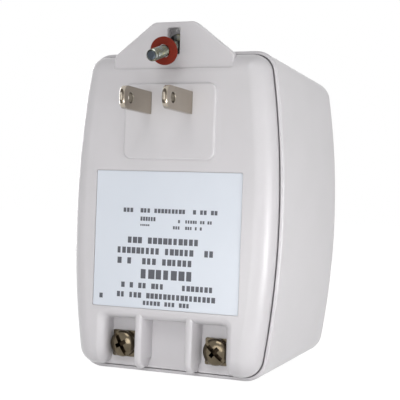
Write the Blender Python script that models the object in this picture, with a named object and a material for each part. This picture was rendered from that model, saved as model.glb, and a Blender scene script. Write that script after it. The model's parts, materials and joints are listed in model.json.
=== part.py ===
"""Plug-in power supply: a mains transformer in a two-part moulded case that hangs on its own plug blades.

The origin is on the plug face, midway between the two blades. The blades point along -Y, the case lies towards
+Y, +X is the right-hand side seen from the plug side, and +Z is up. All lengths are in metres.
"""
import math

import bmesh
import bpy
from mathutils import Euler, Matrix, Vector

MM = 0.001

# Case outline, seen from the plug side
BODY_WIDTH = 65.5 * MM
BODY_HEIGHT = 93.5 * MM
SIDE_BOW = 4.2 * MM
CORNER_RADIUS = 6.9 * MM
BLADES_BELOW_TOP = 15.5 * MM
RIM_STEP = 1.1 * MM

# Case depths and walls
COVER_DEPTH = 6.6 * MM
COVER_WALL = 2.5 * MM
COVER_EDGE_ROUND = 5.5 * MM
SEAM_GAP = 0.3 * MM
LIP_LENGTH = 2.3 * MM
LIP_WALL = 1.1 * MM
HOUSING_DEPTH = 60.4 * MM
HOUSING_WALL = 2.2 * MM
HOUSING_EDGE_ROUND = 4.1 * MM
RIM_EDGE_ROUND = 0.35 * MM
DRAFT_SIDES = 0.006
DRAFT_ENDS = 0.032

# Clearances
FIT = 0.3 * MM
TIGHT_FIT = 0.15 * MM
STICKER_GAP = 0.05 * MM

# Plug blades and the pad they stand on
BLADE_SPACING = 12.7 * MM
BLADE_WIDTH = 6.35 * MM
BLADE_THICKNESS = 1.5 * MM
BLADE_LENGTH = 18.0 * MM
BLADE_TIP_RADIUS = 2.2 * MM
BLADE_TIP_BEVEL = 0.6 * MM
BLADE_TIP_BEVEL_DEPTH = 0.45 * MM
BLADE_EDGE = 0.2 * MM
BLADE_HOLE = 3.0 * MM
BLADE_HOLE_BEVEL = 0.2 * MM
BLADE_HOLE_FROM_TIP = 4.7 * MM
BLADE_SHOULDER = 1.3 * MM
BLADE_SHOULDER_LENGTH = 1.6 * MM
BLADE_TAIL_WIDTH = 4.0 * MM
BLADE_TAIL_LENGTH = 5.0 * MM
PAD_HEIGHT = 0.7 * MM
PAD_WIDTH = 28.4 * MM
PAD_ABOVE_BLADES = 5.7 * MM
PAD_BELOW_BLADES = 16.1 * MM
PAD_CORNER = 2.3 * MM
PAD_EDGE_ROUND = 0.5 * MM

# Mounting ear and its slot
EAR_HEIGHT = 7.9 * MM
EAR_TOP_WIDTH = 12.8 * MM
EAR_BASE_WIDTH = 37.2 * MM
EAR_SHOULDER_BELOW_TOP = 1.55 * MM
EAR_STEP_BELOW_TOP = 5.4 * MM
EAR_SET_BACK = 1.0 * MM
EAR_THICKNESS = 2.3 * MM
EAR_CORNER = 0.9 * MM
EAR_EDGE_ROUND = 0.6 * MM
SLOT_SIDE_ROOM = 0.35 * MM
SLOT_HEIGHT = 7.7 * MM
SLOT_BELOW_EAR_TOP = 1.7 * MM
SLOT_CORNER = 0.35 * MM

# Mounting screw, which has dropped at an angle in the slot, and its keeper washer
SCREW_DIAMETER = 3.4 * MM
SCREW_LENGTH = 20.0 * MM
SCREW_HEAD_DIAMETER = 6.5 * MM
SCREW_HEAD_HEIGHT = 2.1 * MM
SCREW_DROOP = 17.0
SCREW_YAW = 1.2
SCREW_OFF_CENTRE = -0.15 * MM
SCREW_HEAD_BEHIND_EAR = 0.75 * MM
WASHER_DIAMETER = 8.0 * MM
WASHER_THICKNESS = 0.8 * MM
WASHER_FROM_TIP = 8.5 * MM
DRIVER_CHANNEL_ROOM = 0.75 * MM
DRIVER_CHANNEL_SINK = 1.6 * MM

# Rating label and its recess
LABEL_SIDE_MARGIN = 3.55 * MM
LABEL_BELOW_BLADES = 19.5 * MM
LABEL_RECESS = 0.5 * MM
LABEL_THICKNESS = 0.2 * MM
LABEL_CORNER = 0.8 * MM

# Terminal recesses
RECESS_SIDE_MARGIN = 13.55 * MM
RECESS_HEIGHT = 15.6 * MM
RECESS_FLARE = 2.0 * MM
RECESS_BELOW_LABEL = 0.8 * MM
RECESS_TOP_FLARE = 2.7 * MM
RECESS_FLOOR_EDGE = 0.3 * MM
RECESS_CORNER = 1.2 * MM
RECESS_BACK_WALL = 2.0 * MM
RIB_FROM_TERMINAL = 6.78 * MM
RIB_RADIUS = 1.95 * MM
RIB_SET_BACK = 1.3 * MM

# Terminals
TERMINAL_FROM_RECESS_SIDE = 4.5 * MM
TERMINAL_ABOVE_BOTTOM = 7.85 * MM
PLATE_WIDTH = 7.2 * MM
PLATE_HEIGHT = 7.7 * MM
PLATE_CORNER = 0.5 * MM
PLATE_THICKNESS = 0.5 * MM
TERMINAL_SCREW_DIAMETER = 4.0 * MM
TERMINAL_SCREW_LENGTH = 6.6 * MM
TERMINAL_HEAD_DIAMETER = 7.8 * MM
TERMINAL_HEAD_HEIGHT = 2.2 * MM
THREAD_FIT = 0.2 * MM
DRIVE_SLOT_WIDTH = 1.1 * MM
DRIVE_SLOT_DEPTH = 1.0 * MM
DRIVE_CROSS_WIDTH = 1.2 * MM
DRIVE_CROSS_SPAN = 4.0 * MM
DRIVE_CROSS_DEPTH = 1.5 * MM
LEFT_SLOT_TURN = 62.0
RIGHT_SLOT_TURN = -42.0
MOUNTING_SLOT_TURN = 0.0
NUT_SIZE = 7.0 * MM
NUT_THICKNESS = 2.4 * MM
TAG_WIDTH = 3.0 * MM
TAG_LENGTH = 3.0 * MM
TAG_THICKNESS = 0.8 * MM

# Transformer: E and I laminations, coil on the middle leg with its axis along X
CORE_SIDE_ROOM = 0.97 * MM
CORE_END_ROOM = 13.75 * MM
COIL_END_ROOM = 5.7 * MM
CORE_BUTT_GAP = 0.1 * MM
RIVET_DIAMETER = 3.4 * MM
RIVET_HEAD_DIAMETER = 5.6 * MM
RIVET_HEAD_HEIGHT = 1.2 * MM
SEAT_POST_INSET = 4.0 * MM
SEAT_POST_RIM = 3.0 * MM
SEAT_POST_FROM_RIVET = 11.5 * MM
BOBBIN_WALL = 1.0 * MM
FLANGE_THICKNESS = 1.0 * MM
FLANGE_MARGIN = 0.4 * MM
WINDING_BELOW_FLANGE = 1.0 * MM
WINDING_CORNER = 4.0 * MM
TAPE_THICKNESS = 0.4 * MM
COIL_FIT = 0.2 * MM

# Protection and wiring
CUTOFF_DIAMETER = 4.0 * MM
CUTOFF_LENGTH = 11.0 * MM
CUTOFF_WIRE = 0.8 * MM
CUTOFF_WIRE_LENGTH = 1.5 * MM
CUTOFF_BELOW_BLADES = 24.0 * MM
FUSE_DIAMETER = 9.0 * MM
FUSE_THICKNESS = 2.4 * MM
CARD_WIDTH = 10.0 * MM
CARD_THICKNESS = 0.4 * MM
LEAD_DIAMETER = 1.8 * MM
LEADS_BEFORE_FUSE = 3.1 * MM

# Facets
CORNER_STEPS = 8
SIDE_STEPS = 10
ROUND_STEPS = 6
HOLE_SIDES = 20
SCREW_SIDES = 20
LEAD_STEPS = 3



def case_half_width(height):
    """Half the case's width at a height above or below its middle."""
    bow_radius = ((BODY_HEIGHT / 2) ** 2 + SIDE_BOW ** 2) / (2 * SIDE_BOW)
    return BODY_WIDTH / 2 - bow_radius + math.sqrt(bow_radius ** 2 - height ** 2)


# Places that follow from the sizes above
FACE_Y = PAD_HEIGHT
COVER_EDGE_Y = FACE_Y + COVER_DEPTH
RIM_Y = COVER_EDGE_Y + SEAM_GAP
REAR_Y = RIM_Y + HOUSING_DEPTH
LIP_END_Y = COVER_EDGE_Y + LIP_LENGTH
COVER_INNER_Y = FACE_Y + COVER_WALL
REAR_INNER_Y = REAR_Y - HOUSING_WALL
TOP_Z = BLADES_BELOW_TOP
BOTTOM_Z = TOP_Z - BODY_HEIGHT
MIDDLE_Z = (TOP_Z + BOTTOM_Z) / 2
LIP_INSET = HOUSING_WALL + FIT
HOLLOW_INSET = LIP_INSET + LIP_WALL
RECESS_CEILING_Z = BOTTOM_Z + RECESS_HEIGHT
RECESS_TOP_Z = RECESS_CEILING_Z + RECESS_TOP_FLARE
RECESS_WIDTH = BODY_WIDTH - 2 * RECESS_SIDE_MARGIN
RECESS_FLOOR_Y = COVER_EDGE_Y - RECESS_FLOOR_EDGE
RECESS_BACK_Y = RECESS_FLOOR_Y + RECESS_BACK_WALL
LABEL_WIDTH = BODY_WIDTH - 2 * (RIM_STEP + COVER_EDGE_ROUND + LABEL_SIDE_MARGIN)
LABEL_TOP_Z = -LABEL_BELOW_BLADES
LABEL_BOTTOM_Z = RECESS_TOP_Z + RECESS_BELOW_LABEL
TERMINAL_X = RECESS_WIDTH / 2 - TERMINAL_FROM_RECESS_SIDE
TERMINAL_Z = BOTTOM_Z + TERMINAL_ABOVE_BOTTOM
RIB_X = TERMINAL_X - RIB_FROM_TERMINAL
EAR_FRONT_Y = FACE_Y + EAR_SET_BACK
EAR_BACK_Y = EAR_FRONT_Y + EAR_THICKNESS
EAR_TOP_Z = TOP_Z + EAR_HEIGHT
EAR_SHOULDER_Z = TOP_Z - EAR_SHOULDER_BELOW_TOP
EAR_STEP_Z = TOP_Z - EAR_STEP_BELOW_TOP
SLOT_WIDTH = SCREW_DIAMETER + 2 * SLOT_SIDE_ROOM
SLOT_TOP_Z = EAR_TOP_Z - SLOT_BELOW_EAR_TOP
SLOT_BOTTOM_Z = SLOT_TOP_Z - SLOT_HEIGHT
DRIVER_CHANNEL_RADIUS = SCREW_HEAD_DIAMETER / 2 + DRIVER_CHANNEL_ROOM
CORE_Y = (COVER_INNER_Y + REAR_INNER_Y) / 2
CORE_Z = MIDDLE_Z
CORE_HEIGHT = BODY_HEIGHT - 2 * CORE_END_ROOM
CORE_WIDTH = 2 * (case_half_width(CORE_HEIGHT / 2) - HOUSING_WALL - CORE_SIDE_ROOM)
CORE_LEG = CORE_HEIGHT / 6
CORE_WINDOW_LENGTH = CORE_WIDTH - 2 * CORE_LEG
CORE_WINDOW_HEIGHT = CORE_HEIGHT / 2 - 2 * CORE_LEG
FLANGE_PROUD = CORE_WINDOW_HEIGHT - FLANGE_MARGIN
CORE_STACK = REAR_INNER_Y - COVER_INNER_Y - 2 * (FLANGE_PROUD + COIL_END_ROOM)
CORE_FRONT_Y = CORE_Y - CORE_STACK / 2
CORE_BACK_Y = CORE_Y + CORE_STACK / 2
LEG_Z = (CORE_HEIGHT - CORE_LEG) / 2
SEAT_POST_RADIUS = CORE_LEG / 2 - SEAT_POST_RIM
CUTTER_REACH = 4 * MM


def material(name, colour, roughness, metallic):
    """A plain Principled finish. The colour is linear RGB."""
    made = bpy.data.materials.new(name)
    made.use_nodes = True
    shader = made.node_tree.nodes["Principled BSDF"]
    shader.inputs["Base Color"].default_value = (*colour, 1.0)
    shader.inputs["Roughness"].default_value = roughness
    shader.inputs["Metallic"].default_value = metallic
    made.diffuse_color = (*colour, 1.0)
    return made


def add_object(name, bm, finish=None):
    """Turns a bmesh into an object with outward faces, smooth apart from its sharp edges."""
    bmesh.ops.recalc_face_normals(bm, faces=bm.faces)
    mesh = bpy.data.meshes.new(name)
    bm.to_mesh(mesh)
    bm.free()
    mesh.shade_smooth()
    mesh.set_sharp_from_angle(angle=math.radians(32))
    made = bpy.data.objects.new(name, mesh)
    bpy.context.scene.collection.objects.link(made)
    if finish:
        mesh.materials.append(finish)
    return made


def loft(name, rings, finish=None):
    """A closed solid through rings of points, all with the same number of points."""
    bm = bmesh.new()
    loops = [[bm.verts.new(point) for point in ring] for ring in rings]
    for near, far in zip(loops, loops[1:]):
        for i, corner in enumerate(near):
            j = (i + 1) % len(near)
            bm.faces.new((corner, near[j], far[j], far[i]))
    bm.faces.new(loops[0])
    bm.faces.new(loops[-1])
    return add_object(name, bm, finish)


def box(name, low, high, finish=None):
    """A block between two corners."""
    bm = bmesh.new()
    size = [b - a for a, b in zip(low, high)]
    middle = [(a + b) / 2 for a, b in zip(low, high)]
    bmesh.ops.create_cube(bm, size=1.0, matrix=Matrix.Translation(middle) @ Matrix.Diagonal((*size, 1.0)))
    return add_object(name, bm, finish)


def turned(name, profile, sides, finish=None, turn=None):
    """A body of revolution about the Y axis, from (radius, y) points that start and end on the axis."""
    bm = bmesh.new()
    rings = []
    for radius, y in profile:
        if radius == 0:
            rings.append([bm.verts.new((0, y, 0))])
            continue
        angles = [2 * math.pi * (i + 0.5) / sides for i in range(sides)]
        rings.append([bm.verts.new((radius * math.cos(a), y, radius * math.sin(a))) for a in angles])
    for near, far in zip(rings, rings[1:]):
        for i in range(sides):
            j = (i + 1) % sides
            corners = [near[i % len(near)], near[j % len(near)], far[j % len(far)], far[i % len(far)]]
            bm.faces.new(list(dict.fromkeys(corners)))
    if turn:
        bmesh.ops.transform(bm, matrix=turn, verts=bm.verts)
    return add_object(name, bm, finish)


def rod(name, radius, start_y, end_y, x, z, sides=HOLE_SIDES):
    """A plain round bar along Y."""
    made = turned(name, [(0, start_y), (radius, start_y), (radius, end_y), (0, end_y)], sides)
    made.data.transform(Matrix.Translation((x, 0, z)))
    return made


def combine(target, tool, operation="DIFFERENCE"):
    """Cuts, joins or intersects with a tool body that is not itself part of the model."""
    change = target.modifiers.new(tool.name, "BOOLEAN")
    change.operation = operation
    change.solver = "EXACT"
    change.object = tool
    tool.hide_render = True
    tool.display_type = "WIRE"


def case_outline(inset, end_inset=None):
    """The case's outline in X and Z: flat ends, bowed sides and round corners, moved in by an inset."""
    end_inset = inset if end_inset is None else end_inset
    half_height = BODY_HEIGHT / 2
    bow_radius = (half_height ** 2 + SIDE_BOW ** 2) / (2 * SIDE_BOW) - inset
    bow_centre = BODY_WIDTH / 2 - inset - bow_radius
    half = half_height - end_inset
    corner = max(CORNER_RADIUS - inset, 0.2 * MM)
    corner_z = half - corner
    corner_x = bow_centre + math.sqrt((bow_radius - corner) ** 2 - corner_z ** 2)
    lean = math.asin(corner_z / (bow_radius - corner))
    right = []
    for i in range(CORNER_STEPS + 1):
        angle = -math.pi / 2 + (math.pi / 2 - lean) * i / CORNER_STEPS
        right.append((corner_x + corner * math.cos(angle), -corner_z + corner * math.sin(angle)))
    for i in range(1, SIDE_STEPS):
        angle = -lean + 2 * lean * i / SIDE_STEPS
        right.append((bow_centre + bow_radius * math.cos(angle), bow_radius * math.sin(angle)))
    for i in range(CORNER_STEPS + 1):
        angle = lean + (math.pi / 2 - lean) * i / CORNER_STEPS
        right.append((corner_x + corner * math.cos(angle), corner_z + corner * math.sin(angle)))
    left = [(-x, z) for x, z in reversed(right)]
    return right + left


def case_ring(y, inset, end_inset=None):
    return [Vector((x, y, MIDDLE_Z + z)) for x, z in case_outline(inset, end_inset)]


def rounded_polygon(corners, radii, inset=0.0, steps=5):
    """A convex outline in X and Z, given anticlockwise, moved in by an inset, with an arc at each corner."""
    count = len(corners)
    points = [Vector(corner) for corner in corners]
    edges = [(points[(i + 1) % count] - points[i]).normalized() for i in range(count)]
    outline = []
    for i, corner in enumerate(points):
        before, after = edges[i - 1], edges[i]
        turn = math.acos(max(-1.0, min(1.0, before.dot(after))))
        inward = (Vector((-before.y, before.x)) + Vector((-after.y, after.x))).normalized()
        moved = corner + inward * (inset / math.cos(turn / 2))
        radius = max(radii[i] - inset, 0.05 * MM)
        centre = moved + inward * (radius / math.cos(turn / 2))
        start = math.atan2(-before.x, before.y)
        for k in range(steps + 1):
            angle = start + turn * k / steps
            outline.append((centre.x - radius * math.cos(angle + math.pi),
                            centre.y - radius * math.sin(angle + math.pi)))
    return outline


def plate(name, corners, radii, front_y, back_y, front_round=0.0, back_round=0.0, finish=None, steps=5):
    """A flat moulded or stamped piece: a rounded outline given depth along Y, with eased edges."""
    depths = []
    if front_round:
        for i in range(3):
            angle = math.pi / 2 * i / 3
            depths.append((front_y + front_round * (1 - math.sin(math.pi / 2 - angle)),
                           front_round * (1 - math.sin(angle))))
        depths.append((front_y + front_round, 0.0))
    else:
        depths.append((front_y, 0.0))
    if back_round:
        depths.append((back_y - back_round, 0.0))
        depths.append((back_y, back_round))
    else:
        depths.append((back_y, 0.0))
    rings = [[Vector((x, y, z)) for x, z in rounded_polygon(corners, radii, inset, steps)] for y, inset in depths]
    return loft(name, rings, finish)


def rectangle(left, right, bottom, top):
    return [(left, bottom), (right, bottom), (right, top), (left, top)]


def across(name, outline, start_x, end_x, finish=None):
    """A (y, z) outline given depth along X."""
    rings = [[Vector((x, y, z)) for y, z in outline] for x in (start_x, end_x)]
    return loft(name, rings, finish)


def cover_form(name):
    """The outer form of the front cover with its locating lip, before anything is cut from it."""
    rings = [case_ring(LIP_END_Y, LIP_INSET), case_ring(COVER_EDGE_Y, LIP_INSET), case_ring(COVER_EDGE_Y, RIM_STEP)]
    for i in range(ROUND_STEPS + 1):
        angle = math.pi / 2 * i / ROUND_STEPS
        rings.append(case_ring(FACE_Y + COVER_EDGE_ROUND * (1 - math.sin(angle)),
                               RIM_STEP + COVER_EDGE_ROUND * (1 - math.cos(angle))))
    return loft(name, rings)


def ear_corners(bottom_z):
    half_top, half_base = EAR_TOP_WIDTH / 2, EAR_BASE_WIDTH / 2
    return [(-half_base, bottom_z), (half_base, bottom_z), (half_base, EAR_SHOULDER_Z), (half_top, EAR_TOP_Z),
            (-half_top, EAR_TOP_Z), (-half_base, EAR_SHOULDER_Z)]


def recess_ring(y, flare, top_flare):
    """The terminal recess at one depth: open at the bottom, round at its two upper corners."""
    half = RECESS_WIDTH / 2 + flare
    top = RECESS_CEILING_Z + top_flare
    radius = RECESS_CORNER + flare / 2
    low = BOTTOM_Z - CUTTER_REACH
    points = [(half, low)]
    for centre_x, first in ((half - radius, 0.0), (radius - half, 90.0)):
        for i in range(6):
            angle = math.radians(first + 90 * i / 5)
            points.append((centre_x + radius * math.cos(angle), top - radius + radius * math.sin(angle)))
    points.append((-half, low))
    return [Vector((x, y, z)) for x, z in points]


def recess_tool():
    """The hollow of the terminal recesses, with a rounded mouth that runs out into the cover's face."""
    rings = [recess_ring(RECESS_FLOOR_Y, 0.0, 0.0)]
    for i in range(ROUND_STEPS + 1):
        angle = math.pi / 2 * i / ROUND_STEPS
        mouth = 1 - math.cos(angle)
        y = FACE_Y + RECESS_TOP_FLARE * (1 - math.sin(angle))
        rings.append(recess_ring(y, RECESS_FLARE * mouth, RECESS_TOP_FLARE * mouth))
    rings.append(recess_ring(FACE_Y - CUTTER_REACH, RECESS_FLARE, RECESS_TOP_FLARE))
    return loft("recess_tool", rings)


def rib(name, x):
    """A full-round upright rib between two terminal recesses, trimmed to the cover's outer form."""
    crest_y = FACE_Y + RIB_SET_BACK
    centre_y = crest_y + RIB_RADIUS
    outline = [(x + RIB_RADIUS, RECESS_FLOOR_Y + FIT)]
    for i in range(9):
        angle = math.pi * i / 8
        outline.append((x + RIB_RADIUS * math.cos(angle), centre_y - RIB_RADIUS * math.sin(angle)))
    outline.append((x - RIB_RADIUS, RECESS_FLOOR_Y + FIT))
    rings = [[Vector((px, py, z)) for px, py in outline]
             for z in (BOTTOM_Z - CUTTER_REACH, RECESS_CEILING_Z + RIB_RADIUS)]
    made = loft(name, rings)
    combine(made, cover_form(name + "_trim"), "INTERSECT")
    return made


def seat_post_places():
    for side in (-1, 1):
        for end in (-1, 1):
            yield side * (CORE_WIDTH / 2 - SEAT_POST_INSET), CORE_Z + end * (LEG_Z - SEAT_POST_FROM_RIVET)


def driver_channel(name):
    """The groove along the top of the case that lets a screwdriver reach the mounting screw."""
    centre_z = TOP_Z - DRIVER_CHANNEL_SINK + DRIVER_CHANNEL_RADIUS
    return rod(name, DRIVER_CHANNEL_RADIUS, EAR_BACK_Y, REAR_Y + CUTTER_REACH, 0, centre_z, 32)


def make_front_cover(finish):
    cover = cover_form("front_cover")
    cover.data.materials.append(finish)

    hollow = loft("cover_hollow", [
        case_ring(LIP_END_Y + CUTTER_REACH, HOLLOW_INSET),
        case_ring(COVER_INNER_Y + COVER_WALL, HOLLOW_INSET),
        case_ring(COVER_INNER_Y, HOLLOW_INSET + COVER_WALL)])
    block_half = RECESS_WIDTH / 2 + RECESS_FLARE + RECESS_BACK_WALL
    combine(hollow, box("terminal_block", (-block_half, 0, BOTTOM_Z - CUTTER_REACH),
                        (block_half, RECESS_BACK_Y, RECESS_TOP_Z)))
    combine(cover, hollow)

    ear = plate("ear", ear_corners(EAR_STEP_Z - COVER_WALL), [EAR_CORNER] * 6,
                EAR_FRONT_Y, EAR_BACK_Y, EAR_EDGE_ROUND, BLADE_EDGE)
    combine(cover, ear, "UNION")
    combine(cover, plate("ear_step", ear_corners(EAR_STEP_Z), [EAR_CORNER] * 6,
                         FACE_Y - CUTTER_REACH, EAR_FRONT_Y))

    half_pad = PAD_WIDTH / 2
    pad = plate("pad", rectangle(-half_pad, half_pad, -PAD_BELOW_BLADES, PAD_ABOVE_BLADES), [PAD_CORNER] * 4,
                0.0, FACE_Y + COVER_WALL / 2, PAD_EDGE_ROUND)
    combine(cover, pad, "UNION")

    for i, (x, z) in enumerate(seat_post_places()):
        post = rod(f"cover_post_{i}", SEAT_POST_RADIUS, COVER_INNER_Y - COVER_WALL / 2, CORE_FRONT_Y - FIT, x, z)
        combine(cover, post, "UNION")

    slot = plate("ear_slot", rectangle(-SLOT_WIDTH / 2, SLOT_WIDTH / 2, SLOT_BOTTOM_Z, SLOT_TOP_Z),
                 [SLOT_CORNER] * 4, EAR_FRONT_Y - CUTTER_REACH, EAR_BACK_Y + FIT, steps=3)
    combine(cover, slot)
    combine(cover, driver_channel("cover_channel"))

    half_label = LABEL_WIDTH / 2 + TIGHT_FIT
    combine(cover, plate("label_recess", rectangle(-half_label, half_label, LABEL_BOTTOM_Z - TIGHT_FIT,
                                                   LABEL_TOP_Z + TIGHT_FIT),
                         [LABEL_CORNER] * 4, FACE_Y - CUTTER_REACH, FACE_Y + LABEL_RECESS, steps=4))

    for side in (-1, 1):
        x = side * BLADE_SPACING / 2
        half_x = BLADE_THICKNESS / 2 + TIGHT_FIT
        half_z = BLADE_WIDTH / 2 + TIGHT_FIT
        combine(cover, box(f"blade_hole_{side}", (x - half_x, -CUTTER_REACH, -half_z),
                           (x + half_x, COVER_INNER_Y + CUTTER_REACH, half_z)))

    combine(cover, recess_tool())
    for side in (-1, 1):
        combine(cover, rib(f"rib_{side}", side * RIB_X), "UNION")
        combine(cover, rod(f"terminal_hole_{side}", TERMINAL_SCREW_DIAMETER / 2 + FIT, FACE_Y,
                           RECESS_BACK_Y + CUTTER_REACH, side * TERMINAL_X, TERMINAL_Z))
    return cover


def make_rear_housing(finish):
    rings = [case_ring(RIM_Y, RIM_EDGE_ROUND), case_ring(RIM_Y + RIM_EDGE_ROUND / 3, RIM_EDGE_ROUND / 3),
             case_ring(RIM_Y + RIM_EDGE_ROUND, 0.0)]
    straight = HOUSING_DEPTH - HOUSING_EDGE_ROUND
    for i in range(ROUND_STEPS + 1):
        angle = math.pi / 2 * i / ROUND_STEPS
        rings.append(case_ring(RIM_Y + straight + HOUSING_EDGE_ROUND * math.sin(angle),
                               DRAFT_SIDES * straight + HOUSING_EDGE_ROUND * (1 - math.cos(angle)),
                               DRAFT_ENDS * straight + HOUSING_EDGE_ROUND * (1 - math.cos(angle))))
    housing = loft("rear_housing", rings, finish)

    inner_round = HOUSING_EDGE_ROUND - HOUSING_WALL
    inner = REAR_INNER_Y - inner_round - RIM_Y
    hollow = loft("housing_hollow", [
        case_ring(RIM_Y - CUTTER_REACH, HOUSING_WALL),
        case_ring(LIP_END_Y + FIT, HOUSING_WALL),
        case_ring(RIM_Y + inner, HOUSING_WALL + DRAFT_SIDES * inner, HOUSING_WALL + DRAFT_ENDS * inner),
        case_ring(REAR_INNER_Y, HOUSING_WALL + DRAFT_SIDES * inner + inner_round,
                  HOUSING_WALL + DRAFT_ENDS * inner + inner_round)])
    combine(housing, hollow)
    for i, (x, z) in enumerate(seat_post_places()):
        post = rod(f"housing_post_{i}", SEAT_POST_RADIUS, CORE_BACK_Y + FIT, REAR_INNER_Y + HOUSING_WALL / 2, x, z)
        combine(housing, post, "UNION")
    combine(housing, driver_channel("housing_channel"))
    return housing


def make_blade(name, x, finish):
    """A flat blade with a bevelled round tip and a hole, and a shoulder and tail behind the cover's wall."""
    half = BLADE_WIDTH / 2
    tail = BLADE_TAIL_WIDTH / 2
    shoulder = half + BLADE_SHOULDER
    shoulder_y = COVER_INNER_Y + FIT
    tail_y = shoulder_y + BLADE_SHOULDER_LENGTH
    end_y = tail_y + BLADE_TAIL_LENGTH
    half_thick = BLADE_THICKNESS / 2
    bevel_x = half_thick - BLADE_TIP_BEVEL_DEPTH
    rings = []
    for ring_x, bevel in ((-half_thick, BLADE_TIP_BEVEL), (-bevel_x, 0.0), (bevel_x, 0.0),
                          (half_thick, BLADE_TIP_BEVEL)):
        lower = []
        for i in range(7):
            angle = math.pi / 2 * i / 6
            lower.append((BLADE_TIP_RADIUS - (BLADE_TIP_RADIUS - bevel) * math.cos(angle) - BLADE_LENGTH,
                          BLADE_TIP_RADIUS * (1 - math.sin(angle)) - half))
        lower += [(shoulder_y, -half), (shoulder_y, -shoulder), (tail_y, -shoulder), (tail_y, -tail), (end_y, -tail)]
        outline = lower + [(y, -z) for y, z in reversed(lower)]
        rings.append([Vector((x + ring_x, y, z)) for y, z in outline])
    blade = loft(name, rings, finish)
    edge = blade.modifiers.new("eased_edges", "BEVEL")
    edge.width = BLADE_EDGE
    edge.segments = 1
    edge.limit_method = "ANGLE"
    edge.angle_limit = math.radians(60)
    radius, bevel = BLADE_HOLE / 2, BLADE_HOLE_BEVEL
    wide, low, high = radius + 2 * bevel, half_thick - bevel, half_thick + bevel
    hole = turned(name + "_hole", [(0, -high), (wide, -high), (radius, -low), (radius, low), (wide, high), (0, high)],
                  HOLE_SIDES)
    hole.data.transform(Matrix.Translation((x, BLADE_HOLE_FROM_TIP - BLADE_LENGTH, 0))
                        @ Matrix.Rotation(math.pi / 2, 4, "Z"))
    combine(blade, hole)
    return blade


def pan_head(diameter, height):
    """Half profile of a pan head whose bearing face lies at y = 0 and whose top lies at y = height."""
    radius = diameter / 2
    side = height * 0.35
    points = [(radius, 0.0), (radius, side)]
    for i in range(1, 6):
        angle = math.pi / 2 * i / 6
        points.append((radius * (0.35 + 0.65 * math.cos(angle)), side + (height - side) * math.sin(angle)))
    points.append((radius * 0.3, height))
    return points


def drive_cut(screw, top_y, turn, inward):
    """Cuts a screwdriver slot and a cross recess into a head whose top lies at top_y."""
    reach = inward * CUTTER_REACH
    shapes = ((CUTTER_REACH, DRIVE_SLOT_WIDTH / 2, DRIVE_SLOT_DEPTH, 0.0),
              (DRIVE_CROSS_SPAN / 2, DRIVE_CROSS_WIDTH / 2, DRIVE_CROSS_DEPTH, 0.0),
              (DRIVE_CROSS_SPAN / 2, DRIVE_CROSS_WIDTH / 2, DRIVE_CROSS_DEPTH, 90.0))
    for i, (half_length, half_width, depth, extra) in enumerate(shapes):
        bottom_y = top_y + inward * depth
        low_y, high_y = sorted((bottom_y, top_y - reach))
        tool = box(f"{screw.name}_drive_{i}", (-half_length, low_y, -half_width), (half_length, high_y, half_width))
        tool.data.transform(Matrix.Rotation(math.radians(turn + extra), 4, "Y"))
        tool.parent = screw.parent
        tool.location = screw.location
        combine(screw, tool)


def make_mounting_screw(steel, fibre):
    """The captive screw and its washer, on an empty that stands where the screw passes through the ear."""
    radius = SCREW_DIAMETER / 2
    droop = math.radians(SCREW_DROOP)
    half_ear = EAR_THICKNESS / 2
    axis_z = SLOT_BOTTOM_Z + FIT + radius / math.cos(droop) + half_ear * math.tan(droop)
    pivot = bpy.data.objects.new("screw_pivot", None)
    pivot.location = (SCREW_OFF_CENTRE, EAR_FRONT_Y + half_ear, axis_z)
    pivot.rotation_euler = Euler((droop, 0, math.radians(SCREW_YAW)))
    bpy.context.scene.collection.objects.link(pivot)

    bearing_y = (half_ear + SCREW_HEAD_BEHIND_EAR) / math.cos(droop) + SCREW_HEAD_DIAMETER / 2 * math.tan(droop)
    tip_y = bearing_y - SCREW_LENGTH
    chamfer = radius * 0.3
    profile = [(0, tip_y), (radius - chamfer, tip_y), (radius, tip_y + chamfer), (radius, bearing_y)]
    profile += [(r, bearing_y + h) for r, h in pan_head(SCREW_HEAD_DIAMETER, SCREW_HEAD_HEIGHT)]
    profile.append((0, bearing_y + SCREW_HEAD_HEIGHT))
    screw = turned("mounting_screw", profile, SCREW_SIDES, steel)
    screw.parent = pivot
    drive_cut(screw, bearing_y + SCREW_HEAD_HEIGHT, MOUNTING_SLOT_TURN, -1)

    bore = radius + TIGHT_FIT
    front_y = tip_y + WASHER_FROM_TIP
    back_y = front_y + WASHER_THICKNESS
    washer = turned("fibre_washer", [(0, front_y), (WASHER_DIAMETER / 2, front_y), (WASHER_DIAMETER / 2, back_y),
                                     (0, back_y)], 32, fibre)
    washer.parent = pivot
    washer_bore = turned("washer_bore", [(0, front_y - CUTTER_REACH), (bore, front_y - CUTTER_REACH),
                                         (bore, back_y + CUTTER_REACH), (0, back_y + CUTTER_REACH)], SCREW_SIDES)
    washer_bore.parent = pivot
    combine(washer, washer_bore)


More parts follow.
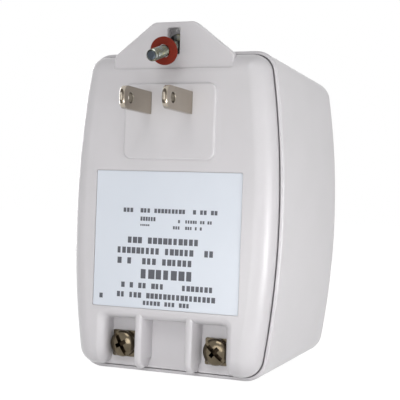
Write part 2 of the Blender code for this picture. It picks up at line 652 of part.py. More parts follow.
def make_terminal(side_name, x, slot_turn, nickel, brass):
    """One output terminal: plate and screw in the recess, threaded nut with its solder tag behind the wall."""
    bore = TERMINAL_SCREW_DIAMETER / 2 + THREAD_FIT
    plate_back = RECESS_FLOOR_Y - TIGHT_FIT
    plate_front = plate_back - PLATE_THICKNESS
    half_width, half_height = PLATE_WIDTH / 2, PLATE_HEIGHT / 2
    corners = rectangle(x - half_width, x + half_width, TERMINAL_Z - half_height, TERMINAL_Z + half_height)
    terminal_plate = plate(f"terminal_plate_{side_name}", corners, [PLATE_CORNER] * 4, plate_front, plate_back,
                           finish=nickel, steps=2)
    combine(terminal_plate, rod(f"plate_bore_{side_name}", bore, plate_front - CUTTER_REACH,
                                plate_back + CUTTER_REACH, x, TERMINAL_Z))

    radius = TERMINAL_SCREW_DIAMETER / 2
    bearing_y = plate_front - TIGHT_FIT
    end_y = bearing_y + TERMINAL_SCREW_LENGTH
    profile = [(0, bearing_y - TERMINAL_HEAD_HEIGHT)]
    profile += [(r, bearing_y - h) for r, h in reversed(pan_head(TERMINAL_HEAD_DIAMETER, TERMINAL_HEAD_HEIGHT))]
    profile += [(radius, bearing_y), (radius, end_y), (0, end_y)]
    screw = turned(f"terminal_screw_{side_name}", profile, SCREW_SIDES, nickel)
    screw.location = (x, 0, TERMINAL_Z)
    drive_cut(screw, bearing_y - TERMINAL_HEAD_HEIGHT, slot_turn, 1)

    nut_y = RECESS_BACK_Y + THREAD_FIT
    half_nut = NUT_SIZE / 2
    nut = box(f"terminal_nut_{side_name}", (x - half_nut, nut_y, TERMINAL_Z - half_nut),
              (x + half_nut, nut_y + NUT_THICKNESS, TERMINAL_Z + half_nut), brass)
    tag_y = nut_y + (NUT_THICKNESS - TAG_THICKNESS) / 2
    combine(nut, box(f"solder_tag_{side_name}", (x - TAG_WIDTH / 2, tag_y, TERMINAL_Z),
                     (x + TAG_WIDTH / 2, tag_y + TAG_THICKNESS, TERMINAL_Z + half_nut + TAG_LENGTH)), "UNION")
    combine(nut, rod(f"nut_bore_{side_name}", bore, nut_y - CUTTER_REACH, nut_y + NUT_THICKNESS + CUTTER_REACH,
                     x, TERMINAL_Z))


def make_label(finish):
    half = LABEL_WIDTH / 2
    back_y = FACE_Y + LABEL_RECESS - STICKER_GAP
    plate("rating_label", rectangle(-half, half, LABEL_BOTTOM_Z, LABEL_TOP_Z), [LABEL_CORNER] * 4,
          back_y - LABEL_THICKNESS, back_y, finish=finish, steps=4)


def make_core(steel, rivet_finish):
    """The E stack with its back on the left and its legs to the right, the I stack that closes it, and rivets."""
    half_width = CORE_WIDTH / 2
    half_height = CORE_HEIGHT / 2
    open_x = half_width - CORE_LEG
    half_window = CORE_WINDOW_LENGTH / 2
    e_outline = [(-half_width, -half_height), (open_x, -half_height), (open_x, CORE_LEG - half_height),
                 (-half_window, CORE_LEG - half_height), (-half_window, -CORE_LEG), (open_x, -CORE_LEG),
                 (open_x, CORE_LEG), (-half_window, CORE_LEG), (-half_window, half_height - CORE_LEG),
                 (open_x, half_height - CORE_LEG), (open_x, half_height), (-half_width, half_height)]
    rings = [[Vector((x, y, CORE_Z + z)) for x, z in e_outline] for y in (CORE_FRONT_Y, CORE_BACK_Y)]
    e_stack = loft("core_e_stack", rings, steel)
    i_stack = box("core_i_stack", (open_x + CORE_BUTT_GAP, CORE_FRONT_Y, CORE_Z - half_height),
                  (half_width, CORE_BACK_Y, CORE_Z + half_height), steel)

    number = 0
    for stack, x in ((e_stack, CORE_LEG / 2 - half_width), (i_stack, half_width - CORE_LEG / 2)):
        for z in (CORE_Z - LEG_Z, CORE_Z + LEG_Z):
            number += 1
            combine(stack, rod(f"rivet_hole_{number}", RIVET_DIAMETER / 2 + FIT, CORE_FRONT_Y - CUTTER_REACH,
                               CORE_BACK_Y + CUTTER_REACH, x, z, 16))
            front = CORE_FRONT_Y - TIGHT_FIT
            back = CORE_BACK_Y + TIGHT_FIT
            head = RIVET_HEAD_DIAMETER / 2
            shank = RIVET_DIAMETER / 2
            profile = [(0, front - RIVET_HEAD_HEIGHT), (head * 0.6, front - RIVET_HEAD_HEIGHT), (head, front),
                       (shank, front), (shank, back), (head, back), (head * 0.6, back + RIVET_HEAD_HEIGHT),
                       (0, back + RIVET_HEAD_HEIGHT)]
            rivet = turned(f"core_rivet_{number}", profile, 16, rivet_finish)
            rivet.location = (x, 0, z)


def coil_ring(name, half_y, half_z, inner_half_y, inner_half_z, start_x, end_x, corner, finish):
    """A wrapped layer round the middle leg: a rounded block along X with a rectangular hole."""
    outer = rounded_polygon(rectangle(-half_y, half_y, -half_z, half_z), [corner] * 4, steps=4)
    ring = across(name, [(CORE_Y + y, CORE_Z + z) for y, z in outer], start_x, end_x, finish)
    inner_corner = max(corner - (half_y - inner_half_y), 0.1 * MM)
    inner = rounded_polygon(rectangle(-inner_half_y, inner_half_y, -inner_half_z, inner_half_z),
                            [inner_corner] * 4, steps=4)
    combine(ring, across(name + "_inside", [(CORE_Y + y, CORE_Z + z) for y, z in inner],
                         start_x - CUTTER_REACH, end_x + CUTTER_REACH))
    return ring


def make_coil(nylon, copper, tape):
    """A two-section bobbin with the mains winding on the left and the output winding on the right."""
    tube_y = CORE_STACK / 2 + FIT
    tube_z = CORE_LEG + FIT
    wall_y = tube_y + BOBBIN_WALL
    wall_z = tube_z + BOBBIN_WALL
    flange_y = CORE_STACK / 2 + FLANGE_PROUD
    flange_z = CORE_LEG + CORE_WINDOW_HEIGHT - FLANGE_MARGIN
    end_x = CORE_WINDOW_LENGTH / 2 - FIT

    bobbin = coil_ring("bobbin", wall_y, wall_z, tube_y, tube_z, -end_x, end_x, BOBBIN_WALL, nylon)
    centres = (-end_x + FLANGE_THICKNESS / 2, 0.0, end_x - FLANGE_THICKNESS / 2)
    for i, centre in enumerate(centres):
        flange = coil_ring(f"flange_{i}", flange_y, flange_z, wall_y - BOBBIN_WALL / 2, wall_z - BOBBIN_WALL / 2,
                           centre - FLANGE_THICKNESS / 2, centre + FLANGE_THICKNESS / 2, 2 * BOBBIN_WALL, nylon)
        combine(bobbin, flange, "UNION")

    outer_y = flange_y - WINDING_BELOW_FLANGE
    outer_z = flange_z - WINDING_BELOW_FLANGE
    near_x = FLANGE_THICKNESS / 2 + COIL_FIT
    far_x = end_x - FLANGE_THICKNESS - COIL_FIT
    for name, low_x, high_x in (("primary", -far_x, -near_x), ("secondary", near_x, far_x)):
        coil_ring(f"{name}_winding", outer_y, outer_z, wall_y + COIL_FIT, wall_z + COIL_FIT, low_x, high_x,
                  WINDING_CORNER, copper)
        inside_y, inside_z = outer_y + COIL_FIT, outer_z + COIL_FIT
        coil_ring(f"{name}_tape", inside_y + TAPE_THICKNESS, inside_z + TAPE_THICKNESS, inside_y, inside_z,
                  low_x + COIL_FIT, high_x - COIL_FIT, WINDING_CORNER + COIL_FIT + TAPE_THICKNESS, tape)
    return outer_y + COIL_FIT + TAPE_THICKNESS, outer_z + COIL_FIT + TAPE_THICKNESS, (near_x + far_x) / 2


def make_protection(tape_y, coil_x, metal, ceramic, paper):
    """Thermal cut-off on the mains winding, resettable fuse and insulating card on the front of the core."""
    radius = CUTOFF_DIAMETER / 2
    wire = CUTOFF_WIRE / 2
    half = CUTOFF_LENGTH / 2
    reach = half + CUTOFF_WIRE_LENGTH
    profile = [(0, -reach), (wire, -reach), (wire, -half), (radius * 0.75, -half), (radius, -half + radius * 0.25),
               (radius, half - radius * 0.25), (radius * 0.75, half), (wire, half), (wire, reach), (0, reach)]
    cutoff = turned("thermal_cutoff", profile, 16, metal)
    cutoff.rotation_euler = Euler((0, 0, math.pi / 2))
    cutoff.location = (-coil_x, CORE_Y - tape_y - COIL_FIT - radius, -CUTOFF_BELOW_BLADES)

    disc = FUSE_DIAMETER / 2
    back = CORE_FRONT_Y - FIT
    front = back - FUSE_THICKNESS
    fuse = turned("resettable_fuse", [(0, front), (disc * 0.9, front), (disc, front + disc * 0.1),
                                      (disc, back - disc * 0.1), (disc * 0.9, back), (0, back)], 20, ceramic)
    fuse.location = (0, 0, CORE_Z - LEG_Z)

    half_card = CARD_WIDTH / 2
    box("insulation_card", (-half_card, back - CARD_THICKNESS, CORE_Z + LEG_Z - CORE_LEG / 2),
        (half_card, back, CORE_Z + LEG_Z + CORE_LEG / 2), paper)
    return cutoff.location.copy(), front


def lead(name, points, finish):
    """An insulated wire on a smooth curve through the given points."""
    smooth = []
    padded = [points[0]] + points + [points[-1]]
    for before, start, end, after in zip(padded, padded[1:], padded[2:], padded[3:]):
        for i in range(LEAD_STEPS):
            t = i / LEAD_STEPS
            smooth.append(0.5 * ((2 * start) + (end - before) * t + (2 * before - 5 * start + 4 * end - after) * t ** 2
                                 + (3 * start - before - 3 * end + after) * t ** 3))
    smooth.append(points[-1])
    curve = bpy.data.curves.new(name, "CURVE")
    curve.dimensions = "3D"
    curve.bevel_depth = LEAD_DIAMETER / 2
    curve.bevel_resolution = 2
    curve.use_fill_caps = True
    spline = curve.splines.new("POLY")
    spline.points.add(len(smooth) - 1)
    for slot, place in zip(spline.points, smooth):
        slot.co = (*place, 1.0)
    curve.materials.append(finish)
    made = bpy.data.objects.new(name, curve)
    bpy.context.scene.collection.objects.link(made)


def make_leads(tape_y, tape_z, coil_x, cutoff_place, fuse_front, black, white, grey):
    """Wires between the blades, the coil, the cut-off, the fuse and the solder tags."""
    blade_x = BLADE_SPACING / 2
    tail_end = COVER_INNER_Y + FIT + BLADE_SHOULDER_LENGTH + BLADE_TAIL_LENGTH + FIT
    coil_top = CORE_Z + tape_z
    coil_bottom = CORE_Z - tape_z
    flange_x = CORE_WINDOW_LENGTH / 2
    pick_y = CORE_FRONT_Y - FUSE_THICKNESS - LEADS_BEFORE_FUSE
    gap = FIT + LEAD_DIAMETER / 2
    cutoff_end = cutoff_place.x - CUTOFF_LENGTH / 2 - CUTOFF_WIRE_LENGTH - FIT
    lead("primary_lead_left", [
        Vector((-blade_x, tail_end, 0)),
        Vector((-blade_x - 0.5 * MM, tail_end + 2.4 * MM, -1.8 * MM)),
        Vector((-blade_x - 2 * MM, tail_end + 2.6 * MM, coil_top + 3.4 * MM)),
        Vector((-blade_x - 7.6 * MM, tail_end + 1.8 * MM, coil_top + 2.4 * MM)),
        Vector((-flange_x - 1.8 * MM, tail_end + 0.4 * MM, coil_top + 1.2 * MM)),
        Vector((-flange_x - CORE_LEG / 5, cutoff_place.y + 1.2 * MM, coil_top - 6 * MM)),
        Vector((-flange_x - CORE_LEG / 5, cutoff_place.y, cutoff_place.z + 3 * MM)),
        Vector((cutoff_end - 1.2 * MM, cutoff_place.y, cutoff_place.z + 0.4 * MM)),
        Vector((cutoff_end, cutoff_place.y, cutoff_place.z))], black)
    lead("primary_lead_right", [
        Vector((blade_x, tail_end, 0)),
        Vector((blade_x - 0.3 * MM, tail_end + 2.4 * MM, -1.2 * MM)),
        Vector((blade_x - 3.4 * MM, pick_y + 0.6 * MM, -3.4 * MM)),
        Vector((-1.2 * MM, pick_y + 0.8 * MM, -5 * MM)),
        Vector((-coil_x + 4 * MM, pick_y + 0.4 * MM, coil_top + 2.6 * MM)),
        Vector((-coil_x + 3.4 * MM, pick_y, coil_top + FIT))], white)

    under_coil = coil_bottom - FLANGE_MARGIN - gap
    tag_z = TERMINAL_Z + NUT_SIZE / 2 + TAG_LENGTH / 2
    tag_y = RECESS_BACK_Y + THREAD_FIT + NUT_THICKNESS / 2
    tag_x = TERMINAL_X - TAG_WIDTH / 2 - FIT
    fuse_z = CORE_Z - LEG_Z
    fuse_side = FUSE_DIAMETER / 2 + 2 * gap - 0.1 * MM
    lead("secondary_lead_left", [
        Vector((coil_x - 4.6 * MM, pick_y, coil_bottom - FIT)),
        Vector((coil_x - 5.6 * MM, pick_y, under_coil - 0.4 * MM)),
        Vector((-2.4 * MM, pick_y, under_coil - 0.8 * MM)),
        Vector((-fuse_side, pick_y - 0.4 * MM, under_coil - 2.4 * MM)),
        Vector((-fuse_side - 1.2 * MM, pick_y - 1.4 * MM, fuse_z - 1.6 * MM)),
        Vector((3.3 * MM - tag_x, tag_y + 0.6 * MM, tag_z + 0.3 * MM)),
        Vector((-tag_x, tag_y, tag_z))], grey)
    lead("secondary_lead_right", [
        Vector((2.2 * MM, fuse_front - gap, fuse_z - 1.8 * MM)),
        Vector((2.6 * MM, fuse_front - 2.4 * MM, fuse_z - 3.2 * MM)),
        Vector((tag_x - 6.9 * MM, fuse_front - 4.6 * MM, fuse_z - 5.2 * MM)),
        Vector((tag_x - 3.3 * MM, tag_y + 0.6 * MM, tag_z + 0.3 * MM)),
        Vector((tag_x, tag_y, tag_z))], grey)
    lead("fuse_link", [
        Vector((coil_x + 2.6 * MM, pick_y - 0.5 * MM, coil_bottom - FIT)),
        Vector((coil_x + 1.6 * MM, pick_y - 0.2 * MM, under_coil - 0.4 * MM)),
        Vector((coil_x - 1.8 * MM, pick_y + 1.2 * MM, under_coil - 1.1 * MM)),
        Vector((2.2 * MM, fuse_front - gap, fuse_z + 3 * MM))], grey)


def main():
    for old in list(bpy.data.objects):
        bpy.data.objects.remove(old)

    white_plastic = material("white_moulded_plastic", (0.76, 0.76, 0.77), 0.35, 0.0)
    nickel = material("nickel_plated_brass", (0.55, 0.52, 0.46), 0.25, 1.0)
    zinc = material("zinc_plated_steel", (0.62, 0.62, 0.56), 0.3, 1.0)
    fibre = material("red_fibre", (0.24, 0.03, 0.02), 0.6, 0.0)
    sticker = material("label_film", (0.75, 0.79, 0.86), 0.4, 0.0)
    lamination = material("lamination_steel", (0.2, 0.2, 0.22), 0.5, 1.0)
    bright_steel = material("rivet_steel", (0.5, 0.5, 0.5), 0.35, 1.0)
    brass = material("brass", (0.6, 0.42, 0.16), 0.3, 1.0)
    nylon = material("bobbin_nylon", (0.5, 0.5, 0.46), 0.5, 0.0)
    copper = material("enamelled_copper", (0.55, 0.2, 0.07), 0.35, 0.6)
    tape = material("polyester_tape", (0.75, 0.6, 0.1), 0.35, 0.0)
    tin = material("tinned_can", (0.6, 0.6, 0.58), 0.3, 1.0)
    ceramic = material("ceramic_coating", (0.6, 0.35, 0.05), 0.45, 0.0)
    card = material("fish_paper", (0.35, 0.37, 0.33), 0.8, 0.0)
    black = material("black_wire", (0.03, 0.03, 0.03), 0.5, 0.0)
    white = material("white_wire", (0.75, 0.75, 0.72), 0.5, 0.0)
    grey = material("grey_wire", (0.3, 0.3, 0.32), 0.5, 0.0)

    make_front_cover(white_plastic)
    make_rear_housing(white_plastic)
    make_blade("blade_left", -BLADE_SPACING / 2, nickel)
    make_blade("blade_right", BLADE_SPACING / 2, nickel)
    make_mounting_screw(zinc, fibre)
    make_terminal("left", -TERMINAL_X, LEFT_SLOT_TURN, nickel, brass)
    make_terminal("right", TERMINAL_X, RIGHT_SLOT_TURN, nickel, brass)
    make_label(sticker)
    make_core(lamination, bright_steel)
    tape_y, tape_z, coil_x = make_coil(nylon, copper, tape)
    cutoff_place, fuse_front = make_protection(tape_y, coil_x, tin, ceramic, card)
    make_leads(tape_y, tape_z, coil_x, cutoff_place, fuse_front, black, white, grey)


main()
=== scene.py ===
import json
import math

import bmesh
import bpy
from mathutils import Euler, Matrix, Vector
from mathutils.kdtree import KDTree

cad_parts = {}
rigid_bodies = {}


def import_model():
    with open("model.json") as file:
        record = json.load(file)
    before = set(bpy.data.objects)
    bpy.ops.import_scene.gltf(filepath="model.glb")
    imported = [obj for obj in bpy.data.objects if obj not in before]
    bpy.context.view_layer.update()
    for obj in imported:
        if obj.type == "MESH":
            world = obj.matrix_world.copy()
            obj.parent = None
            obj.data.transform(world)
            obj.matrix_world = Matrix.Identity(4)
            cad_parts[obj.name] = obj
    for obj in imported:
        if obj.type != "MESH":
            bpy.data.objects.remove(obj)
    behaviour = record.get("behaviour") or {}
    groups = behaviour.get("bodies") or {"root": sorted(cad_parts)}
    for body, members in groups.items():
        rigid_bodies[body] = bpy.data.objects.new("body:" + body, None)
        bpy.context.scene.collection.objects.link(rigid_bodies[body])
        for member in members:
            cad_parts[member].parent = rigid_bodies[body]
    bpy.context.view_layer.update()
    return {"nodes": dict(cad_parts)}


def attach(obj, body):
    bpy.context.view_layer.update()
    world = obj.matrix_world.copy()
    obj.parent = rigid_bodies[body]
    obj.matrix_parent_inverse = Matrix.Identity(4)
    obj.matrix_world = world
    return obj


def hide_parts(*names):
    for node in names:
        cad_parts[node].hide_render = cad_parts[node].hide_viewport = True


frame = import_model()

mm = 0.001
past = 4.0  # a cutting tool reaches this far past what it cuts
# Blender's start objects go
for leftOver in [o for o in bpy.data.objects if o.name in ("Cube", "Camera", "Light")]:
    bpy.data.objects.remove(leftOver)

# Camera: 400 x 400 picture, a long lens a little right of the plug side, level, rolled two degrees
camera = {"focalPixels": 1007.0, "pictureWidth": 400, "sensor": 36.0, "place": (117.5, -260.8, -28.4),
          "yaw": 22.31, "pitch": -0.23, "roll": 2.06}


def addCamera():
    yaw, pitch, roll = (math.radians(camera[k]) for k in ("yaw", "pitch", "roll"))
    ahead = Vector((-math.sin(yaw) * math.cos(pitch), math.cos(yaw) * math.cos(pitch), -math.sin(pitch)))
    level = Vector((math.cos(yaw), math.sin(yaw), 0))
    upright = level.cross(ahead)
    side = level * math.cos(roll) + upright * math.sin(roll)
    top = upright * math.cos(roll) - level * math.sin(roll)
    bpy.ops.object.camera_add()
    seen = bpy.context.object
    seen.data.sensor_width = camera["sensor"]
    seen.data.lens = camera["focalPixels"] / camera["pictureWidth"] * camera["sensor"]
    seen.data.clip_start = 0.01
    place = Vector(camera["place"]) * mm
    seen.matrix_world = Matrix(((side.x, top.x, -ahead.x, place.x), (side.y, top.y, -ahead.y, place.y),
                                (side.z, top.z, -ahead.z, place.z), (0, 0, 0, 1)))
    bpy.context.scene.camera = seen


addCamera()
print("camera stands")


# Modelling helpers, all sizes in millimetres
def startFresh(piece=None):
    if bpy.context.object and bpy.context.object.mode != "OBJECT":
        bpy.ops.object.mode_set(mode="OBJECT")
    bpy.ops.object.select_all(action="DESELECT")
    if piece:
        piece.select_set(True)
        bpy.context.view_layer.objects.active = piece


def settle(piece, name):  # the place, turn and size go into the mesh
    startFresh(piece)
    piece.name = piece.data.name = name
    bpy.ops.object.transform_apply(location=True, rotation=True, scale=True)
    return piece


def addBlock(name, low, high):
    startFresh()
    bpy.ops.mesh.primitive_cube_add(size=1, location=[(a + b) / 2 * mm for a, b in zip(low, high)])
    bpy.context.object.scale = [(b - a) * mm for a, b in zip(low, high)]
    return settle(bpy.context.object, name)


def addRod(name, radius, startY, endY, x, z, sides=48):  # a round bar along Y
    startFresh()
    bpy.ops.mesh.primitive_cylinder_add(vertices=sides, radius=radius * mm, depth=(endY - startY) * mm,
                                        location=(x * mm, (startY + endY) / 2 * mm, z * mm),
                                        rotation=(math.pi / 2, 0, 0))
    return settle(bpy.context.object, name)


def growRings(name, rings):  # a filled outline is extruded ring by ring, and each ring goes to its place
    startFresh()
    bpy.ops.mesh.primitive_circle_add(vertices=len(rings[0]), radius=mm, fill_type="NGON")
    piece = bpy.context.object
    for corner, spot in zip(piece.data.vertices, rings[0]):
        corner.co = Vector(spot) * mm
    bpy.ops.object.mode_set(mode="EDIT")
    bpy.ops.mesh.select_all(action="SELECT")
    for near, far in zip(rings, rings[1:]):
        bpy.ops.mesh.extrude_region_move(TRANSFORM_OT_translate={"value": (0, 0, 0)})
        finder = KDTree(len(near))
        for i, spot in enumerate(near):
            finder.insert(Vector(spot), i)
        finder.balance()
        shape = bmesh.from_edit_mesh(piece.data)
        for corner in shape.verts:
            if corner.select:
                corner.co = Vector(far[finder.find(corner.co / mm)[1]]) * mm
        bmesh.update_edit_mesh(piece.data)
    bpy.ops.mesh.select_all(action="SELECT")
    bpy.ops.mesh.normals_make_consistent(inside=False)
    return settle(piece, name)


def roundEdges(piece, test, width, segments):  # bevels the edges whose two ends pass the test
    startFresh(piece)
    bpy.ops.object.mode_set(mode="EDIT")
    bpy.ops.mesh.select_mode(type="EDGE")
    bpy.ops.mesh.select_all(action="DESELECT")
    shape = bmesh.from_edit_mesh(piece.data)
    for edge in shape.edges:
        edge.select_set(test(edge.verts[0].co / mm, edge.verts[1].co / mm))
    bmesh.update_edit_mesh(piece.data)
    bpy.ops.mesh.bevel(offset=width * mm, segments=segments, affect="EDGES", clamp_overlap=False)
    bpy.ops.object.mode_set(mode="OBJECT")


def carve(piece, tool, how="DIFFERENCE"):
    startFresh(piece)
    cut = piece.modifiers.new("cut", "BOOLEAN")
    cut.operation = how
    cut.solver = "EXACT"
    cut.object = tool
    bpy.ops.object.modifier_apply(modifier=cut.name)
    bpy.data.objects.remove(tool)


def smoothSkin(piece, degrees):  # smooth where it is round, even where it is flat
    startFresh(piece)
    bpy.ops.object.mode_set(mode="EDIT")
    bpy.ops.mesh.select_all(action="SELECT")
    bpy.ops.mesh.remove_doubles(threshold=0.0005 * mm)
    bpy.ops.mesh.normals_make_consistent(inside=False)
    bpy.ops.object.mode_set(mode="OBJECT")
    bpy.ops.object.shade_smooth_by_angle(angle=math.radians(degrees))
    even = piece.modifiers.new("evenShade", "WEIGHTED_NORMAL")
    even.keep_sharp = True
    bpy.ops.object.modifier_apply(modifier=even.name)


def handOver(piece, node, finish):  # the piece stands for its CAD node
    piece.data.materials.clear()
    piece.data.materials.append(finish)
    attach(piece, "root")
    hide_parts(node)


# Material helpers
def linear(code):  # sRGB hex to linear colour
    parts = [int(code[i:i + 2], 16) / 255 for i in (1, 3, 5)]
    return tuple(c / 12.92 if c <= 0.04045 else ((c + 0.055) / 1.055) ** 2.4 for c in parts) + (1.0,)


def perMm(size):  # noise scale for marks of this size in millimetres
    return 1 / (size * mm)


# One node with its settings, values and links. A link's key is the socket's name, or _ and its number.
def addNode(tree, kind, settings=(), give=0, **links):
    node = tree.nodes.new("ShaderNode" + kind)
    for key, value in dict(settings).items():
        setattr(node, key, value)
    for key, value in links.items():
        socket = node.inputs[int(key[1:]) if key[1:].isdigit() else key.replace("_", " ")]
        if isinstance(value, bpy.types.NodeSocket):
            tree.links.new(value, socket)
        else:
            socket.default_value = linear(value) if isinstance(value, str) else value
    return node.outputs if give is None else node.outputs[give]


def startFinish(name, roughness, metallic=0.0, ior=None):
    finish = bpy.data.materials.new(name)
    finish.use_nodes = True
    tree = finish.node_tree
    shader = tree.nodes["Principled BSDF"]
    shader.inputs["Roughness"].default_value = roughness
    shader.inputs["Metallic"].default_value = metallic
    if ior:
        shader.inputs["IOR"].default_value = ior
    return finish, tree, addNode(tree, "TexCoord", give="Object")


def wire(tree, colour, roughness, relief):  # the three patterns go to the shader
    shader = tree.nodes["Principled BSDF"]
    for socket, pattern in (("Base Color", colour), ("Roughness", roughness), ("Normal", relief)):
        tree.links.new(pattern, shader.inputs[socket])


colourMix = {"data_type": "RGBA"}  # a Mix node set to this takes its colours at 6 and 7 and gives output 2


# White case: injection-moulded ABS from a fine spark-eroded mould, so it is satin with a very fine grain.
# The real grain is about 0.1 mm, and it is drawn at 0.35 mm so that it shows.
absLook = {"white": "#d1ced1", "shade": "#cac8ca", "mottle": 14, "grain": 0.35, "grainDepth": 0.012,
           "rough": (0.25, 0.37)}


def makeWhiteAbs():
    finish, tree, spot = startFinish("mouldedWhiteAbs", 0.31, ior=1.53)
    mottle = addNode(tree, "TexNoise", Vector=spot, Scale=perMm(absLook["mottle"]), Detail=3.0)
    grain = addNode(tree, "TexNoise", Vector=spot, Scale=perMm(absLook["grain"]), Detail=2.0)
    wire(tree, addNode(tree, "Mix", colourMix, 2, _0=mottle, _6=absLook["white"], _7=absLook["shade"]),
         addNode(tree, "MapRange", Value=grain, To_Min=absLook["rough"][0], To_Max=absLook["rough"][1]),
         addNode(tree, "Bump", Height=grain, Distance=absLook["grainDepth"] * mm))
    return finish


# Blades: nickel over rolled brass, a warm grey satin mirror with faint lines along Y.
# The coined tip bevel and the punched hole are painted darker: painted shade on the hole's wall and a painted dark
# reflection on the tip's bevel.
# Rolling lines are finer than 0.1 mm, and they are drawn at 0.3 mm so that they show.
nickelLook = {"bright": "#b7afa2", "dull": "#a89f92", "paintedShadeAndReflection": "#554e45", "line": 0.3, "lineStretch": 14,
              "stain": 6.0, "lineDepth": 0.0008, "holeY": -13.3, "holeRadius": 1.5, "holeFade": 0.06,
              "holeShade": 0.75, "bevelY": -17.68, "bevelHalf": 0.22, "rough": (0.2, 0.3)}


def makeNickel():
    finish, tree, spot = startFinish("nickelOnRolledBrass", 0.24, 1.0)
    drawn = addNode(tree, "Mapping", Vector=spot, Scale=(1, 1 / nickelLook["lineStretch"], 1))
    lines = addNode(tree, "TexNoise", Vector=drawn, Scale=perMm(nickelLook["line"]), Detail=3.0)
    stain = addNode(tree, "TexNoise", Vector=spot, Scale=perMm(nickelLook["stain"]), Detail=4.0)
    plain = addNode(tree, "Mix", colourMix, 2, _0=stain, _6=nickelLook["bright"], _7=nickelLook["dull"])
    flat = addNode(tree, "VectorMath", {"operation": "MULTIPLY"}, Vector=spot, _1=(0, 1, 1))
    fromHole = addNode(tree, "VectorMath", {"operation": "DISTANCE"}, "Value", _0=flat,
                       _1=(0, nickelLook["holeY"] * mm, 0))
    holeShadeMask = addNode(tree, "MapRange", Value=fromHole, From_Max=nickelLook["holeRadius"] * mm,
                     From_Min=(nickelLook["holeRadius"] + nickelLook["holeFade"]) * mm, To_Max=nickelLook["holeShade"])
    alongBlade = addNode(tree, "SeparateXYZ", give="Y", Vector=spot)
    bladeTipReflectionMask = addNode(tree, "Math", {"operation": "COMPARE"}, _0=alongBlade, _1=nickelLook["bevelY"] * mm,
                      _2=nickelLook["bevelHalf"] * mm)
    # painted shade in the hole and a painted dark reflection on the tip's bevel
    paintedShadeAndReflection = addNode(tree, "Math", {"operation": "MAXIMUM"}, _0=holeShadeMask, _1=bladeTipReflectionMask)
    wire(tree, addNode(tree, "Mix", colourMix, 2, _0=paintedShadeAndReflection, _6=plain, _7=nickelLook["paintedShadeAndReflection"]),
         addNode(tree, "MapRange", Value=lines, To_Min=nickelLook["rough"][0], To_Max=nickelLook["rough"][1]),
         addNode(tree, "Bump", Height=lines, Distance=nickelLook["lineDepth"] * mm))
    return finish


# Terminal screws and plates: nickel over brass, a brighter mirror. Its colours are painted darker than the blades'
# nickel, as painted dark reflection on the heads and painted shade on the plates, with painted shade down in the drive
headLook = {"bright": "#766c5b", "dull": "#4a4236", "driveShade": "#30281f", "patch": 1.6, "patchDepth": 0.06,
            "pitY": 4.42, "pitRadius": 2.75, "pitEdge": 0.1, "pitFade": 0.5, "axisX": 14.7, "axisZ": 70.15,
            "rough": (0.08, 0.2)}


def makeHeadNickel():
    finish, tree, spot = startFinish("nickelOnHeadedBrassPaintedDark", 0.14, 1.0)
    patch = addNode(tree, "TexNoise", Vector=spot, Scale=perMm(headLook["patch"]), Detail=3.0)
    plain = addNode(tree, "Mix", colourMix, 2, _0=patch, _6=headLook["bright"], _7=headLook["dull"])
    mirrored = addNode(tree, "VectorMath", {"operation": "ABSOLUTE"}, Vector=spot)  # both heads share one mask
    flat = addNode(tree, "VectorMath", {"operation": "MULTIPLY"}, _0=mirrored, _1=(1, 0, 1))
    fromAxis = addNode(tree, "VectorMath", {"operation": "DISTANCE"}, "Value", _0=flat,
                       _1=(headLook["axisX"] * mm, 0, headLook["axisZ"] * mm))
    inDrive = addNode(tree, "MapRange", Value=fromAxis, From_Max=headLook["pitRadius"] * mm,
                      From_Min=(headLook["pitRadius"] + headLook["pitEdge"]) * mm)
    depth = addNode(tree, "SeparateXYZ", give="Y", Vector=spot)
    below = addNode(tree, "MapRange", Value=depth, From_Min=headLook["pitY"] * mm,
                    From_Max=(headLook["pitY"] + headLook["pitFade"]) * mm)
    # painted shade down in the slot and cross of the drive
    driveShade = addNode(tree, "Math", {"operation": "MULTIPLY"}, _0=inDrive, _1=below)
    wire(tree, addNode(tree, "Mix", colourMix, 2, _0=driveShade, _6=plain, _7=headLook["driveShade"]),
         addNode(tree, "MapRange", Value=patch, To_Min=headLook["rough"][0], To_Max=headLook["rough"][1]),
         addNode(tree, "Bump", Height=patch, Distance=headLook["patchDepth"] * mm))
    return finish


# Mounting screw: bright zinc plate with a thin yellow-green chromate, with painted shade down in the thread's grooves,
# and a painted dark blue-grey reflection on the tip's end. The plate's crystals are drawn at 0.2 mm, coarser than
# real, so that they show.
zincLook = {"silver": "#9fa29f", "tint": "#86825f", "cool": "#747c84", "groove": "#282b25", "tipDarkReflection": "#454b52",
            "patch": 2.0, "tinted": (0.36, 0.76), "grain": 0.2, "grainDepth": 0.004, "grooveFrom": 0.34,
            "grooveFull": 0.18, "tipEnd": -16.93, "tipFade": 0.04, "threadEnd": 1.7, "threadFade": 0.2,
            "rough": (0.16, 0.3)}

# The screw's own sizes, which its finish follows. The pitch is a little coarser than a real one's 0.8, to show.
mountScrew = {"diameter": 3.4, "length": 20.0, "headDiameter": 6.5, "headHeight": 2.1, "droop": 17.0, "yaw": 1.2,
              "pivot": (-0.15, 2.85, 16.43), "bearingY": 2.98, "pitch": 0.9, "threadDepth": 0.34, "ringsPerPitch": 8,
              "chamfer": 0.5, "sides": 40}


